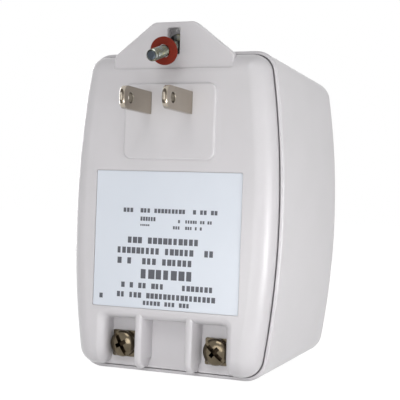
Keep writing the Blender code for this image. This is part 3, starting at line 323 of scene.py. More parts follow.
def makeZinc():
    finish, tree, spot = startFinish("chromatedZinc", 0.24, 1.0)
    patch = addNode(tree, "TexNoise", Vector=spot, Scale=perMm(zincLook["patch"]), Detail=2.0)
    grain = addNode(tree, "TexNoise", Vector=spot, Scale=perMm(zincLook["grain"]), Detail=2.0)
    cold = addNode(tree, "Mix", colourMix, 2, _0=grain, _6=zincLook["silver"], _7=zincLook["cool"])
    tinted = addNode(tree, "MapRange", Value=patch, From_Min=zincLook["tinted"][0], From_Max=zincLook["tinted"][1])
    plate = addNode(tree, "Mix", colourMix, 2, _0=tinted, _6=cold, _7=zincLook["tint"])
    own = addNode(tree, "Mapping", {"vector_type": "TEXTURE"}, Vector=spot,  # the place along the screw's own axes
                  Location=[v * mm for v in mountScrew["pivot"]],
                  Rotation=(math.radians(mountScrew["droop"]), 0, math.radians(mountScrew["yaw"])))
    own = addNode(tree, "SeparateXYZ", give=None, Vector=own)
    turns = addNode(tree, "Math", {"operation": "ARCTAN2"}, _0=own["Z"], _1=own["X"])
    turns = addNode(tree, "Math", {"operation": "DIVIDE"}, _0=turns, _1=-2 * math.pi)
    phase = addNode(tree, "Math", {"operation": "MULTIPLY_ADD"}, _0=own["Y"], _1=perMm(mountScrew["pitch"]), _2=turns)
    flank = addNode(tree, "Math", {"operation": "PINGPONG"}, _0=phase, _1=0.5)
    # painted shade down in the thread's grooves
    groove = addNode(tree, "MapRange", Value=flank, From_Min=zincLook["grooveFrom"], From_Max=zincLook["grooveFull"])
    shank = addNode(tree, "MapRange", Value=own["Y"], From_Min=zincLook["threadEnd"] * mm,
                    From_Max=(zincLook["threadEnd"] - zincLook["threadFade"]) * mm)
    groove = addNode(tree, "Math", {"operation": "MULTIPLY"}, _0=groove, _1=shank)
    plate = addNode(tree, "Mix", colourMix, 2, _0=groove, _6=plate, _7=zincLook["groove"])
    # painted dark reflection on the tip's end face
    screwTipReflectionMask = addNode(tree, "MapRange", Value=own["Y"], From_Max=zincLook["tipEnd"] * mm,
                    From_Min=(zincLook["tipEnd"] + zincLook["tipFade"]) * mm)
    wire(tree, addNode(tree, "Mix", colourMix, 2, _0=screwTipReflectionMask, _6=plate, _7=zincLook["tipDarkReflection"]),
         addNode(tree, "MapRange", Value=grain, To_Min=zincLook["rough"][0], To_Max=zincLook["rough"][1]),
         addNode(tree, "Bump", Height=grain, Distance=zincLook["grainDepth"] * mm))
    return finish


# Washer: red vulcanised fibre punched from sheet, matt and dense, with short fibres in it. A real fibre is under
# 0.05 mm, and it is drawn at 0.35 mm so that it shows.
fibreLook = {"red": "#84230c", "dark": "#5e1706", "fibre": 0.35, "fibreDepth": 0.02, "rough": (0.7, 0.9)}


def makeRedFibre():
    finish, tree, spot = startFinish("vulcanisedFibre", 0.75, ior=1.4)
    laid = addNode(tree, "Mapping", Vector=spot, Scale=(0.4, 1.0, 1.0))
    fibres = addNode(tree, "TexNoise", Vector=laid, Scale=perMm(fibreLook["fibre"]), Detail=5.0)
    wire(tree, addNode(tree, "Mix", colourMix, 2, _0=fibres, _6=fibreLook["dark"], _7=fibreLook["red"]),
         addNode(tree, "MapRange", Value=fibres, To_Min=fibreLook["rough"][0], To_Max=fibreLook["rough"][1]),
         addNode(tree, "Bump", Height=fibres, Distance=fibreLook["fibreDepth"] * mm))
    return finish


# Label: pale blue-white polyester film, satin, printed in near-black. Its print is rows of plain blocks here.
filmLook = {"film": "#d8dde5", "cloud": "#d2d8e1", "print": "#4b4d55", "cloudSize": 18, "cloudDepth": 0.02,
            "gapShare": 0.17, "blockShare": (0.62, 0.86), "rough": (0.32, 0.5)}
printRows = [  # height of the row's middle, block height, left end, block pitch, number of blocks
    (-30.8, 1.25, -14.8, 1.09, 28), (-33.2, 1.2, -8.2, 0.82, 6), (-35.0, 0.5, -8.2, 0.6, 5),
    (-33.6, 0.9, 2.1, 0.75, 16), (-35.4, 0.9, 2.1, 0.75, 12), (-39.4, 1.8, -12.0, 1.6, 15),
    (-42.4, 1.8, -15.2, 1.51, 21), (-45.4, 1.8, -15.1, 1.58, 15), (-49.0, 2.7, -7.5, 2.37, 7),
    (-52.4, 1.55, -15.0, 1.37, 23), (-55.2, 1.55, -14.9, 1.34, 23), (-57.3, 1.25, -6.5, 1.13, 13),
    (-56.0, 1.4, -20.6, 1.3, 1)]


def makeLabelFilm():
    finish, tree, spot = startFinish("printedPolyesterFilm", 0.36, ior=1.57)
    place = addNode(tree, "SeparateXYZ", give=None, Vector=spot)
    ink = None
    for i, (middle, height, left, pitch, count) in enumerate(printRows):
        along = addNode(tree, "MapRange", {"clamp": False}, Value=place["X"], From_Min=left * mm,
                        From_Max=(left + pitch) * mm)  # counts blocks from the row's left end
        cell = addNode(tree, "Math", {"operation": "FLOOR"}, _0=along)
        within = addNode(tree, "Math", {"operation": "FRACT"}, _0=along)
        chance = addNode(tree, "TexWhiteNoise", {"noise_dimensions": "2D"}, None,
                         Vector=addNode(tree, "CombineXYZ", X=cell, Y=i + 0.5))
        tint = addNode(tree, "SeparateColor", give=None, Color=chance["Color"])
        width = addNode(tree, "MapRange", Value=tint["Green"], To_Min=filmLook["blockShare"][0],
                        To_Max=filmLook["blockShare"][1])
        marks = [addNode(tree, "Math", {"operation": "LESS_THAN"}, _0=within, _1=width),
                 addNode(tree, "Math", {"operation": "COMPARE"}, _0=cell, _1=(count - 1) / 2, _2=count / 2),
                 addNode(tree, "Math", {"operation": "COMPARE"}, _0=place["Z"], _1=middle * mm, _2=height / 2 * mm)]
        if count > 7:  # word gaps
            marks.append(addNode(tree, "Math", {"operation": "GREATER_THAN"}, _0=chance["Value"],
                                 _1=filmLook["gapShare"]))
        row = marks[0]
        for mark in marks[1:]:
            row = addNode(tree, "Math", {"operation": "MULTIPLY"}, _0=row, _1=mark)
        ink = addNode(tree, "Math", {"operation": "MAXIMUM"}, _0=ink, _1=row) if ink else row
    cloud = addNode(tree, "TexNoise", Vector=spot, Scale=perMm(filmLook["cloudSize"]), Detail=2.0)
    film = addNode(tree, "Mix", colourMix, 2, _0=cloud, _6=filmLook["film"], _7=filmLook["cloud"])
    wire(tree, addNode(tree, "Mix", colourMix, 2, _0=ink, _6=film, _7=filmLook["print"]),
         addNode(tree, "MapRange", Value=ink, To_Min=filmLook["rough"][0], To_Max=filmLook["rough"][1]),
         addNode(tree, "Bump", Height=cloud, Distance=filmLook["cloudDepth"] * mm))
    return finish


whiteAbs = makeWhiteAbs()
rolledNickel = makeNickel()
headNickel = makeHeadNickel()
zincPlate = makeZinc()
redFibre = makeRedFibre()
labelFilm = makeLabelFilm()
print("outer finishes mixed")


# Case outline, shared by the cover and the housing
case = {"width": 65.5, "height": 93.5, "bow": 4.2, "corner": 6.9, "topZ": 15.5, "cornerSteps": 14, "sideSteps": 28}
caseMiddle = case["topZ"] - case["height"] / 2
caseBottom = case["topZ"] - case["height"]


def caseOutline(inset):
    halfHeight = case["height"] / 2
    bowRadius = (halfHeight ** 2 + case["bow"] ** 2) / (2 * case["bow"]) - inset
    bowCentre = case["width"] / 2 - inset - bowRadius
    corner = max(case["corner"] - inset, 0.3)
    cornerZ = halfHeight - inset - corner
    cornerX = bowCentre + math.sqrt((bowRadius - corner) ** 2 - cornerZ ** 2)
    lean = math.asin(cornerZ / (bowRadius - corner))
    right = []
    for i in range(case["cornerSteps"] + 1):
        angle = -math.pi / 2 + (math.pi / 2 - lean) * i / case["cornerSteps"]
        right.append((cornerX + corner * math.cos(angle), -cornerZ + corner * math.sin(angle)))
    for i in range(1, case["sideSteps"]):
        angle = -lean + 2 * lean * i / case["sideSteps"]
        right.append((bowCentre + bowRadius * math.cos(angle), bowRadius * math.sin(angle)))
    for i in range(case["cornerSteps"] + 1):
        angle = lean + (math.pi / 2 - lean) * i / case["cornerSteps"]
        right.append((cornerX + corner * math.cos(angle), cornerZ + corner * math.sin(angle)))
    return right + [(-x, z) for x, z in reversed(right)]


def caseBlock(name, inset, frontY, backY, draft=(0.0, 0.0)):  # the outline extruded, smaller at the back by its draft
    outline = caseOutline(inset)
    halfWidth, halfHeight = case["width"] / 2 - inset, case["height"] / 2 - inset
    narrow = 1 - draft[0] * (backY - frontY) / halfWidth
    low = 1 - draft[1] * (backY - frontY) / halfHeight
    return growRings(name, [[(x, frontY, caseMiddle + z) for x, z in outline],
                            [(x * narrow, backY, caseMiddle + z * low) for x, z in outline]])


def bothAt(axis, value, slack=0.02):  # test for edges that lie at one depth
    return lambda a, b: abs(a[axis] - value) < slack and abs(b[axis] - value) < slack


def alongY(a, b):
    return abs(a.x - b.x) < 0.01 and abs(a.z - b.z) < 0.01


# Front cover
cover = {"faceY": 0.7, "edgeY": 7.3, "rimStep": 1.35, "edgeRound": 5.5, "backEase": 0.12, "lipInset": 3.1,
         "lipEndY": 9.6, "hollowInset": 3.6, "innerY": 3.2, "innerRound": 2.2, "recessBackY": 9.0}
ear = {"frontY": 1.35, "backY": 4.0, "topZ": 23.4, "topWidth": 12.8, "baseWidth": 37.2, "shoulderZ": 13.95,
       "stepZ": 10.1, "rootZ": 7.6, "corner": 0.9, "edgeRound": 0.6, "ledgeY": 0.8, "ledgeRound": 0.5,
       "ledgeSteps": 6, "cornerSteps": 8}
slot = {"width": 4.1, "topZ": 21.7, "bottomZ": 14.0, "corner": 0.35}
pad = {"width": 28.4, "topZ": 5.7, "bottomZ": -16.1, "corner": 2.3, "edgeRound": 0.65}
labelPocket = {"halfWidth": 22.75, "topZ": -19.35, "bottomZ": -59.05, "depth": 0.5, "corner": 0.4}
recess = {"half": 18.7, "flare": 2.5, "ceilingZ": -62.4, "topFlare": 2.7, "mouthDepth": 3.4, "floorY": 7.0,
          "corner": 1.2, "steps": 12, "cornerSteps": 8, "sideWall": 2.0}
ribs = {"x": 7.87, "crestRadius": 0.95, "topHalf": 1.1, "footHalf": 2.0, "crestY": 0.9, "steps": 8, "topZ": -59.55,
        "lowZ": -76.6, "endRadius": 3.2}
posts = {"x": 23.5, "z": 16.0, "radius": 2.5, "coverEndY": 19.2, "housingStartY": 49.8}
bladeHole = {"spacing": 12.7, "halfX": 0.78, "halfZ": 3.2}
channel = {"radius": 4.0, "z": 17.9, "collar": 5.2, "collarEndY": 12.4}
bendSteps = 16  # of a form that is swept round the cover's lower edge
skinGap = 0.012  # keeps a cutting tool's skin off the skin that it follows
terminal = {"x": 14.7, "z": -70.15, "plateWidth": 7.2, "plateHeight": 7.7, "plateFrontY": 6.35, "plateBackY": 6.85,
            "corner": 0.5, "edge": 0.08, "bore": 2.2, "coverBore": 2.3}  # the cover needs their places too


def earPlate():
    half, base = ear["topWidth"] / 2, ear["baseWidth"] / 2
    outline = [(-base, ear["rootZ"]), (base, ear["rootZ"]), (base, ear["shoulderZ"]), (half, ear["topZ"]),
               (-half, ear["topZ"]), (-base, ear["shoulderZ"])]
    plate = growRings("earPlate", [[(x, y, z) for x, z in outline] for y in (ear["frontY"], ear["backY"])])
    roundEdges(plate, alongY, ear["corner"], ear["cornerSteps"])
    roundEdges(plate, bothAt(1, ear["frontY"]), ear["edgeRound"], 5)
    roundEdges(plate, bothAt(1, ear["backY"]), 0.2, 2)
    return plate


def earStepTool():  # clears the ear's front, with a rounded edge to the ledge under it
    rings = []
    for i in range(ear["ledgeSteps"] + 1):
        angle = math.pi / 2 * i / ear["ledgeSteps"]
        grow = ear["ledgeRound"] * (1 - math.cos(angle))
        y = ear["ledgeY"] + ear["ledgeRound"] * (1 - math.sin(angle))
        half, low, corner = ear["baseWidth"] / 2 + grow, ear["stepZ"] - grow, ear["corner"] + grow
        ring = [(half, 30.0), (-half, 30.0)]  # well above the ear
        for centreX, first in ((corner - half, 180), (half - corner, 270)):
            for k in range(ear["cornerSteps"] + 1):
                turn = math.radians(first + 90 * k / ear["cornerSteps"])
                ring.append((centreX + corner * math.cos(turn), low + corner + corner * math.sin(turn)))
        if i == 0:
            rings.append([(x, ear["frontY"], z) for x, z in ring])
        rings.append([(x, y, z) for x, z in ring])
    rings.append([(x, cover["faceY"] - past, z) for x, z in ring])
    return growRings("earStepTool", rings)


def recessRing(y, flare, topFlare):  # the terminal recess at one depth, open at the bottom
    half, top = recess["half"] + flare, recess["ceilingZ"] + topFlare
    radius = recess["corner"] + flare / 2
    ring = [(half, y, caseBottom - past)]
    for centreX, first in ((half - radius, 0.0), (radius - half, 90.0)):
        for i in range(recess["cornerSteps"] + 1):
            angle = math.radians(first + 90 * i / recess["cornerSteps"])
            ring.append((centreX + radius * math.cos(angle), y, top - radius + radius * math.sin(angle)))
    return ring + [(-half, y, caseBottom - past)]


def recessTool():
    rings = [recessRing(recess["floorY"], 0, 0)]
    for i in range(recess["steps"] + 1):
        angle = math.pi / 2 * i / recess["steps"]
        mouth = 1 - math.cos(angle)
        rings.append(recessRing(cover["faceY"] + recess["mouthDepth"] * (1 - math.sin(angle)),
                                recess["flare"] * mouth, recess["topFlare"] * mouth))
    rings.append(recessRing(cover["faceY"] - past, recess["flare"], recess["topFlare"]))
    return growRings("recessTool", rings)


def sweepDown(name, profile, frontY, lowZ, radius, startZ, endY):  # (x, depth) down the front and round the bottom
    rings = [[(x, frontY + depth, startZ) for x, depth in profile]]
    for i in range(bendSteps + 1):
        angle = math.pi / 2 * i / bendSteps
        rings.append([(x, frontY + radius - (radius - depth) * math.cos(angle),
                       lowZ + radius - (radius - depth) * math.sin(angle)) for x, depth in profile])
    rings.append([(x, endY, lowZ + depth) for x, depth in profile])
    return growRings(name, rings)


def makeRib(x):  # a wedge with a small round crest, its lower end rolled back like the cover's edge
    depth = ribs["endRadius"] - 0.1
    slope = (ribs["footHalf"] - ribs["topHalf"]) / (recess["floorY"] - ribs["crestY"] - ribs["crestRadius"])
    half = ribs["topHalf"] + slope * (depth - ribs["crestRadius"])
    edge = ribs["topHalf"] - ribs["crestRadius"]
    right = [(half, depth)]
    for i in range(ribs["steps"] + 1):
        angle = math.pi / 2 * i / ribs["steps"]
        right.append((edge + ribs["crestRadius"] * math.cos(angle), ribs["crestRadius"] * (1 - math.sin(angle))))
    profile = [(x + out, back) for out, back in right] + [(x - out, back) for out, back in reversed(right)]
    rib = sweepDown("rib", profile, ribs["crestY"], ribs["lowZ"], ribs["endRadius"], ribs["topZ"],
                    recess["floorY"] + 0.2)
    rings = []  # the foot under the crest, a little narrower where it starts inside it
    for wide, y in ((half - 0.03, ribs["crestY"] + depth - 0.2), (ribs["footHalf"] + 0.02, recess["floorY"] + 0.3)):
        rings.append([(x + side * wide, y, z) for side, z in ((-1, ribs["lowZ"] + 3), (1, ribs["lowZ"] + 3),
                                                               (1, ribs["topZ"]), (-1, ribs["topZ"]))])
    carve(rib, growRings("ribFoot", rings), "UNION")
    return rib


def mouthTool(side):  # carries the mouth's rounding on round the cover's lower edge
    inner = side * (recess["half"] - 0.3)
    profile = [(inner, recess["mouthDepth"])]
    for i in range(recess["steps"] + 1):
        angle = math.pi / 2 * i / recess["steps"]
        profile.append((side * (recess["half"] + recess["flare"] * (1 - math.cos(angle))),
                        recess["mouthDepth"] * (1 - math.sin(angle))))
    profile += [(side * (recess["half"] + recess["flare"]), -1.5), (inner, -1.5)]
    low = caseBottom + cover["rimStep"]
    return sweepDown("mouthTool", profile, cover["faceY"] - skinGap, low - skinGap, cover["edgeRound"],
                     low + cover["edgeRound"] + 0.02, recess["floorY"] - 0.02)


def makeCover():
    shell = caseBlock("coverShell", cover["rimStep"], cover["faceY"], cover["edgeY"])
    roundEdges(shell, bothAt(1, cover["edgeY"]), cover["backEase"], 2)
    roundEdges(shell, bothAt(1, cover["faceY"]), cover["edgeRound"], 16)
    carve(shell, caseBlock("lip", cover["lipInset"], cover["innerY"], cover["lipEndY"]), "UNION")
    hollow = caseBlock("hollow", cover["hollowInset"], cover["innerY"], cover["lipEndY"] + past)
    roundEdges(hollow, bothAt(1, cover["innerY"]), cover["innerRound"], 6)
    blockHalf = recess["half"] + recess["flare"] + recess["sideWall"]
    carve(hollow, addBlock("terminalBlock", (-blockHalf, 0, caseBottom - past),
                           (blockHalf, cover["recessBackY"], recess["ceilingZ"] + recess["topFlare"])))
    carve(shell, hollow)

    carve(shell, earPlate(), "UNION")
    carve(shell, earStepTool())

    stand = addBlock("padStand", (-pad["width"] / 2, 0, pad["bottomZ"]), (pad["width"] / 2, 2, pad["topZ"]))
    roundEdges(stand, alongY, pad["corner"], 10)
    roundEdges(stand, bothAt(1, 0), pad["edgeRound"], 5)
    carve(shell, stand, "UNION")

    for x in (-posts["x"], posts["x"]):
        for z in (-posts["z"], posts["z"]):
            carve(shell, addRod("post", posts["radius"], 2, posts["coverEndY"], x, caseMiddle + z, 32), "UNION")

    collar = addRod("collar", channel["collar"], ear["backY"] - 0.5, cover["edgeY"], 0, channel["z"], 96)
    carve(shell, collar, "UNION")
    opening = addBlock("slotTool", (-slot["width"] / 2, -2.5, slot["bottomZ"]),
                       (slot["width"] / 2, ear["backY"] + 0.3, slot["topZ"]))
    roundEdges(opening, alongY, slot["corner"], 5)
    carve(shell, opening)
    carve(shell, addRod("channelTool", channel["radius"], ear["backY"], 20, 0, channel["z"], 96))

    half = labelPocket["halfWidth"]
    pocket = addBlock("pocketTool", (-half, -3, labelPocket["bottomZ"]),
                      (half, cover["faceY"] + labelPocket["depth"], labelPocket["topZ"]))
    roundEdges(pocket, alongY, labelPocket["corner"], 6)
    carve(shell, pocket)

    for side in (-1, 1):
        x = side * bladeHole["spacing"] / 2
        carve(shell, addBlock("bladeTool", (x - bladeHole["halfX"], -4, -bladeHole["halfZ"]),
                              (x + bladeHole["halfX"], 7, bladeHole["halfZ"])))

    carve(shell, recessTool())
    for side in (-1, 1):
        carve(shell, mouthTool(side))
        carve(shell, makeRib(side * ribs["x"]), "UNION")
        carve(shell, addRod("screwBore", terminal["coverBore"], cover["faceY"], 12, side * terminal["x"],
                            terminal["z"], 32))
    smoothSkin(shell, 28)
    handOver(shell, "front_cover", whiteAbs)


makeCover()
print("cover moulded")


# Rear housing
housing = {"rimY": 7.35, "rimRound": 0.9, "gapInset": 1.02, "gapEndInset": 2.0, "gapDepth": 2.2, "rearY": 68.0,
           "edgeRound": 4.1, "wall": 2.2, "innerRound": 1.9, "draftSides": 0.006, "draftEnds": 0.032}


def makeHousing():
    draft = (housing["draftSides"], housing["draftEnds"])
    shell = caseBlock("housingShell", 0, housing["rimY"], housing["rearY"], draft)
    roundEdges(shell, bothAt(1, housing["rimY"]), housing["rimRound"], 4)
    roundEdges(shell, bothAt(1, housing["rearY"]), housing["edgeRound"], 14)
    inner = housing["rearY"] - housing["wall"]
    hollow = caseBlock("hollow", housing["wall"], housing["rimY"] - past, inner, draft)
    roundEdges(hollow, bothAt(1, inner), housing["innerRound"], 6)
    carve(shell, hollow)
    gap = caseBlock("gapTool", housing["gapInset"], housing["rimY"] - 2, housing["rimY"] + housing["gapDepth"])
    carve(gap, caseBlock("gapCore", housing["gapEndInset"], housing["rimY"] - past, housing["rimY"] + 9))
    carve(shell, gap)
    for x in (-posts["x"], posts["x"]):
        for z in (-posts["z"], posts["z"]):
            carve(shell, addRod("post", posts["radius"], posts["housingStartY"], inner + 1, x, caseMiddle + z, 32),
                  "UNION")
    collar = addRod("collar", channel["collar"], housing["rimY"], channel["collarEndY"], 0, channel["z"], 96)
    carve(shell, collar, "UNION")
    carve(shell, addRod("channelTool", channel["radius"], 3, 75, 0, channel["z"], 96))
    smoothSkin(shell, 28)
    handOver(shell, "rear_housing", whiteAbs)


makeHousing()
print("housing moulded")


# Plug blades
blade = {"spacing": 12.7, "width": 6.35, "thickness": 1.5, "length": 18.0, "tipRadius": 2.9, "tipBevel": 0.6,
         "tipBevelDepth": 0.45, "edge": 0.2, "hole": 1.45, "holeBevel": 0.12, "holeFromTip": 4.7,
         "shoulderY": 3.5, "shoulder": 1.3, "shoulderLength": 1.6, "tailHalf": 2.0, "tailLength": 5.0,
         "tipSteps": 14, "holeSides": 40}


def makeBlade(name, x, node):
    half, halfThick = blade["width"] / 2, blade["thickness"] / 2
    tailY = blade["shoulderY"] + blade["shoulderLength"]
    endY = tailY + blade["tailLength"]
    bevelX = halfThick - blade["tipBevelDepth"]
    rings = []
    for ringX, bevel in ((-halfThick, blade["tipBevel"]), (-bevelX, 0), (bevelX, 0), (halfThick, blade["tipBevel"])):
        lower = []
        for i in range(blade["tipSteps"] + 1):
            angle = math.pi / 2 * i / blade["tipSteps"]
            lower.append((blade["tipRadius"] - (blade["tipRadius"] - bevel) * math.cos(angle) - blade["length"],
                          blade["tipRadius"] * (1 - math.sin(angle)) - half))
        lower += [(blade["shoulderY"], -half), (blade["shoulderY"], -half - blade["shoulder"]),
                  (tailY, -half - blade["shoulder"]), (tailY, -blade["tailHalf"]), (endY, -blade["tailHalf"])]
        rings.append([(x + ringX, y, z) for y, z in lower + [(y, -z) for y, z in reversed(lower)]])
    piece = growRings(name, rings)
    ease = piece.modifiers.new("ease", "BEVEL")
    ease.width, ease.segments, ease.limit_method = blade["edge"] * mm, 3, "ANGLE"
    ease.angle_limit = math.radians(60)
    startFresh(piece)
    bpy.ops.object.modifier_apply(modifier=ease.name)
    radius, bevel = blade["hole"], blade["holeBevel"]
    steps = ((-halfThick - bevel, radius + 2 * bevel), (bevel - halfThick, radius), (halfThick - bevel, radius),
             (halfThick + bevel, radius + 2 * bevel))
    holeY = blade["holeFromTip"] - blade["length"]
    turns = [2 * math.pi * i / blade["holeSides"] for i in range(blade["holeSides"])]
    carve(piece, growRings("holeTool", [[(x + depth, holeY + r * math.cos(a), r * math.sin(a)) for a in turns]
                                        for depth, r in steps]))
    smoothSkin(piece, 32)
    handOver(piece, node, rolledNickel)


makeBlade("plugBladeLeft", -blade["spacing"] / 2, "blade_left")
makeBlade("plugBladeRight", blade["spacing"] / 2, "blade_right")
print("blades stamped")


# Screws: turned rings along Y, with the thread cut as a spiral into them
def turnRings(name, steps, sides, thread=None):  # steps are (radius, y); a thread is (pitch, depth, from, to)
    rings = []
    for radius, y in steps:
        ring = []
        for i in range(sides):
            angle = 2 * math.pi * i / sides
            r = radius
            if thread and thread[2] <= y <= thread[3]:
                phase = (y / thread[0] - i / sides) % 1.0
                fade = min(1.0, (y - thread[2]) / thread[0], (thread[3] - y) / thread[0])
                r -= thread[1] * abs(2 * phase - 1) ** 1.3 * max(fade, 0)
            ring.append((r * math.cos(angle), y, r * math.sin(angle)))
        rings.append(ring)
    return growRings(name, rings)


def driveRecess(piece, topY, turn, inward, drive):  # slot, and a cross that narrows with depth
    arms = [(12.0, drive["slotWidth"], drive["slotDepth"], 0, 1.0),
            (drive["crossSpan"], drive["crossWidth"], drive["crossDepth"], 0, 0.45),
            (drive["crossSpan"], drive["crossWidth"], drive["crossDepth"], 90, 0.45)]
    for length, width, depth, extra, taper in arms:
        rings = []
        for y, size in ((topY - inward * 2, 1.15 if taper < 1 else 1.0), (topY + inward * depth, taper)):
            rings.append([(sx * length / 2 * size, y, sz * width / 2 * (0.5 + size / 2))
                          for sx, sz in ((-1, -1), (1, -1), (1, 1), (-1, 1))])
        tool = growRings("driveTool", rings)
        tool.rotation_euler = (0, math.radians(turn + extra), 0)
        carve(piece, settle(tool, "driveTool"))


def panSteps(diameter, height, outwardY, sign):  # rim, then a dome; sign is +1 when the top lies at higher y
    radius, side = diameter / 2, height * 0.32
    steps = [(radius - 0.12, outwardY), (radius, outwardY + sign * 0.12), (radius, outwardY + sign * side)]
    for i in range(1, 13):
        angle = math.pi / 2 * i / 13
        steps.append((radius * (0.3 + 0.7 * math.cos(angle)),
                      outwardY + sign * (side + (height - side) * math.sin(angle))))
    steps.append((radius * 0.28, outwardY + sign * height))
    return steps


washer = {"diameter": 8.0, "thickness": 0.8, "fromTip": 8.5, "edge": 0.12, "bore": 1.85}
mountDrive = {"slotWidth": 1.1, "slotDepth": 1.0, "crossWidth": 1.2, "crossSpan": 4.0, "crossDepth": 1.5}


def tilt(piece, name):  # to the droop of the captive screw in its slot
    piece.rotation_euler = Euler((math.radians(mountScrew["droop"]), 0, math.radians(mountScrew["yaw"])))
    piece.location = [v * mm for v in mountScrew["pivot"]]
    return settle(piece, name)


def makeMountingScrew():
    radius = mountScrew["diameter"] / 2
    tipY = mountScrew["bearingY"] - mountScrew["length"]
    steps = [(radius * 0.3, tipY + 0.02), (radius - mountScrew["chamfer"] - 0.15, tipY),
             (radius - mountScrew["chamfer"], tipY + 0.06)]
    stepY = mountScrew["pitch"] / mountScrew["ringsPerPitch"]
    y = tipY + 0.5
    while y < mountScrew["bearingY"] - 0.3:
        steps.append((radius, y))
        y += stepY
    steps.append((radius, mountScrew["bearingY"]))
    steps += panSteps(mountScrew["headDiameter"], mountScrew["headHeight"], mountScrew["bearingY"], 1)
    piece = turnRings("mountingScrew", steps, mountScrew["sides"],
                      (mountScrew["pitch"], mountScrew["threadDepth"], tipY + 0.45, mountScrew["bearingY"] - 1.2))
    driveRecess(piece, mountScrew["bearingY"] + mountScrew["headHeight"], 0, -1, mountDrive)
    tilt(piece, "captiveScrew")
    smoothSkin(piece, 40)
    handOver(piece, "mounting_screw", zincPlate)

    frontY = tipY + washer["fromTip"]
    backY = frontY + washer["thickness"]
    outer = washer["diameter"] / 2
    ease = washer["edge"]
    steps = [(outer - ease, frontY), (outer - ease * 0.3, frontY + ease * 0.3), (outer, frontY + ease),
             (outer, backY - ease), (outer - ease * 0.3, backY - ease * 0.3), (outer - ease, backY)]
    disc = turnRings("washer", steps, 72)
    carve(disc, addRod("washerBore", washer["bore"], frontY - 2, backY + 2, 0, 0, 40))
    tilt(disc, "keeperWasher")
    smoothSkin(disc, 35)
    handOver(disc, "fibre_washer", redFibre)


makeMountingScrew()
print("mounting screw and washer turned")


# Terminals
terminalScrew = {"diameter": 4.0, "length": 6.6, "headDiameter": 7.8, "headHeight": 2.2, "bearingY": 6.2,
                 "pitch": 0.7, "threadDepth": 0.25, "turnLeft": 62.0, "turnRight": 42.0}
terminalDrive = {"slotWidth": 1.15, "slotDepth": 1.05, "crossWidth": 1.35, "crossSpan": 4.6, "crossDepth": 1.6}


def makeTerminal(name, side, turn):
    x, z = side * terminal["x"], terminal["z"]
    halfWidth, halfHeight = terminal["plateWidth"] / 2, terminal["plateHeight"] / 2
    plate = addBlock(name + "Plate", (x - halfWidth, terminal["plateFrontY"], z - halfHeight),
                     (x + halfWidth, terminal["plateBackY"], z + halfHeight))
    roundEdges(plate, alongY, terminal["corner"], 5)
    roundEdges(plate, bothAt(1, terminal["plateFrontY"]), terminal["edge"], 2)
    carve(plate, addRod("plateBore", terminal["bore"], 4, 9, x, z, 32))
    smoothSkin(plate, 32)
    handOver(plate, "terminal_plate_" + name, headNickel)

    bearing = terminalScrew["bearingY"]
    steps = list(reversed(panSteps(terminalScrew["headDiameter"], terminalScrew["headHeight"], bearing, -1)))
    radius = terminalScrew["diameter"] / 2
    steps.append((radius, bearing))
    endY = bearing + terminalScrew["length"]
    stepY = terminalScrew["pitch"] / 6
    y = bearing + stepY
    while y < endY - 0.3:
        steps.append((radius, y))
        y += stepY
    steps.append((radius * 0.8, endY))
    thread = (terminalScrew["pitch"], terminalScrew["threadDepth"], bearing + 0.5, endY - 0.2)
    screw = turnRings(name + "Screw", steps, 48, thread)
    driveRecess(screw, bearing - terminalScrew["headHeight"], turn, 1, terminalDrive)
    screw.location = (x * mm, 0, z * mm)
    settle(screw, name + "TerminalScrew")
    smoothSkin(screw, 35)
    handOver(screw, "terminal_screw_" + name, headNickel)


makeTerminal("left", -1, terminalScrew["turnLeft"])
makeTerminal("right", 1, terminalScrew["turnRight"])
print("terminals fitted")


# Rating label
label = {"halfWidth": 22.6, "topZ": -19.5, "bottomZ": -58.9, "frontY": 0.95, "backY": 1.15, "corner": 0.35}


def makeLabel():
    sheet = addBlock("ratingLabel", (-label["halfWidth"], label["frontY"], label["bottomZ"]),
                     (label["halfWidth"], label["backY"], label["topZ"]))
    roundEdges(sheet, alongY, label["corner"], 6)
    roundEdges(sheet, bothAt(1, label["frontY"]), 0.03, 1)
    smoothSkin(sheet, 35)
    handOver(sheet, "rating_label", labelFilm)


makeLabel()
print("label laid")


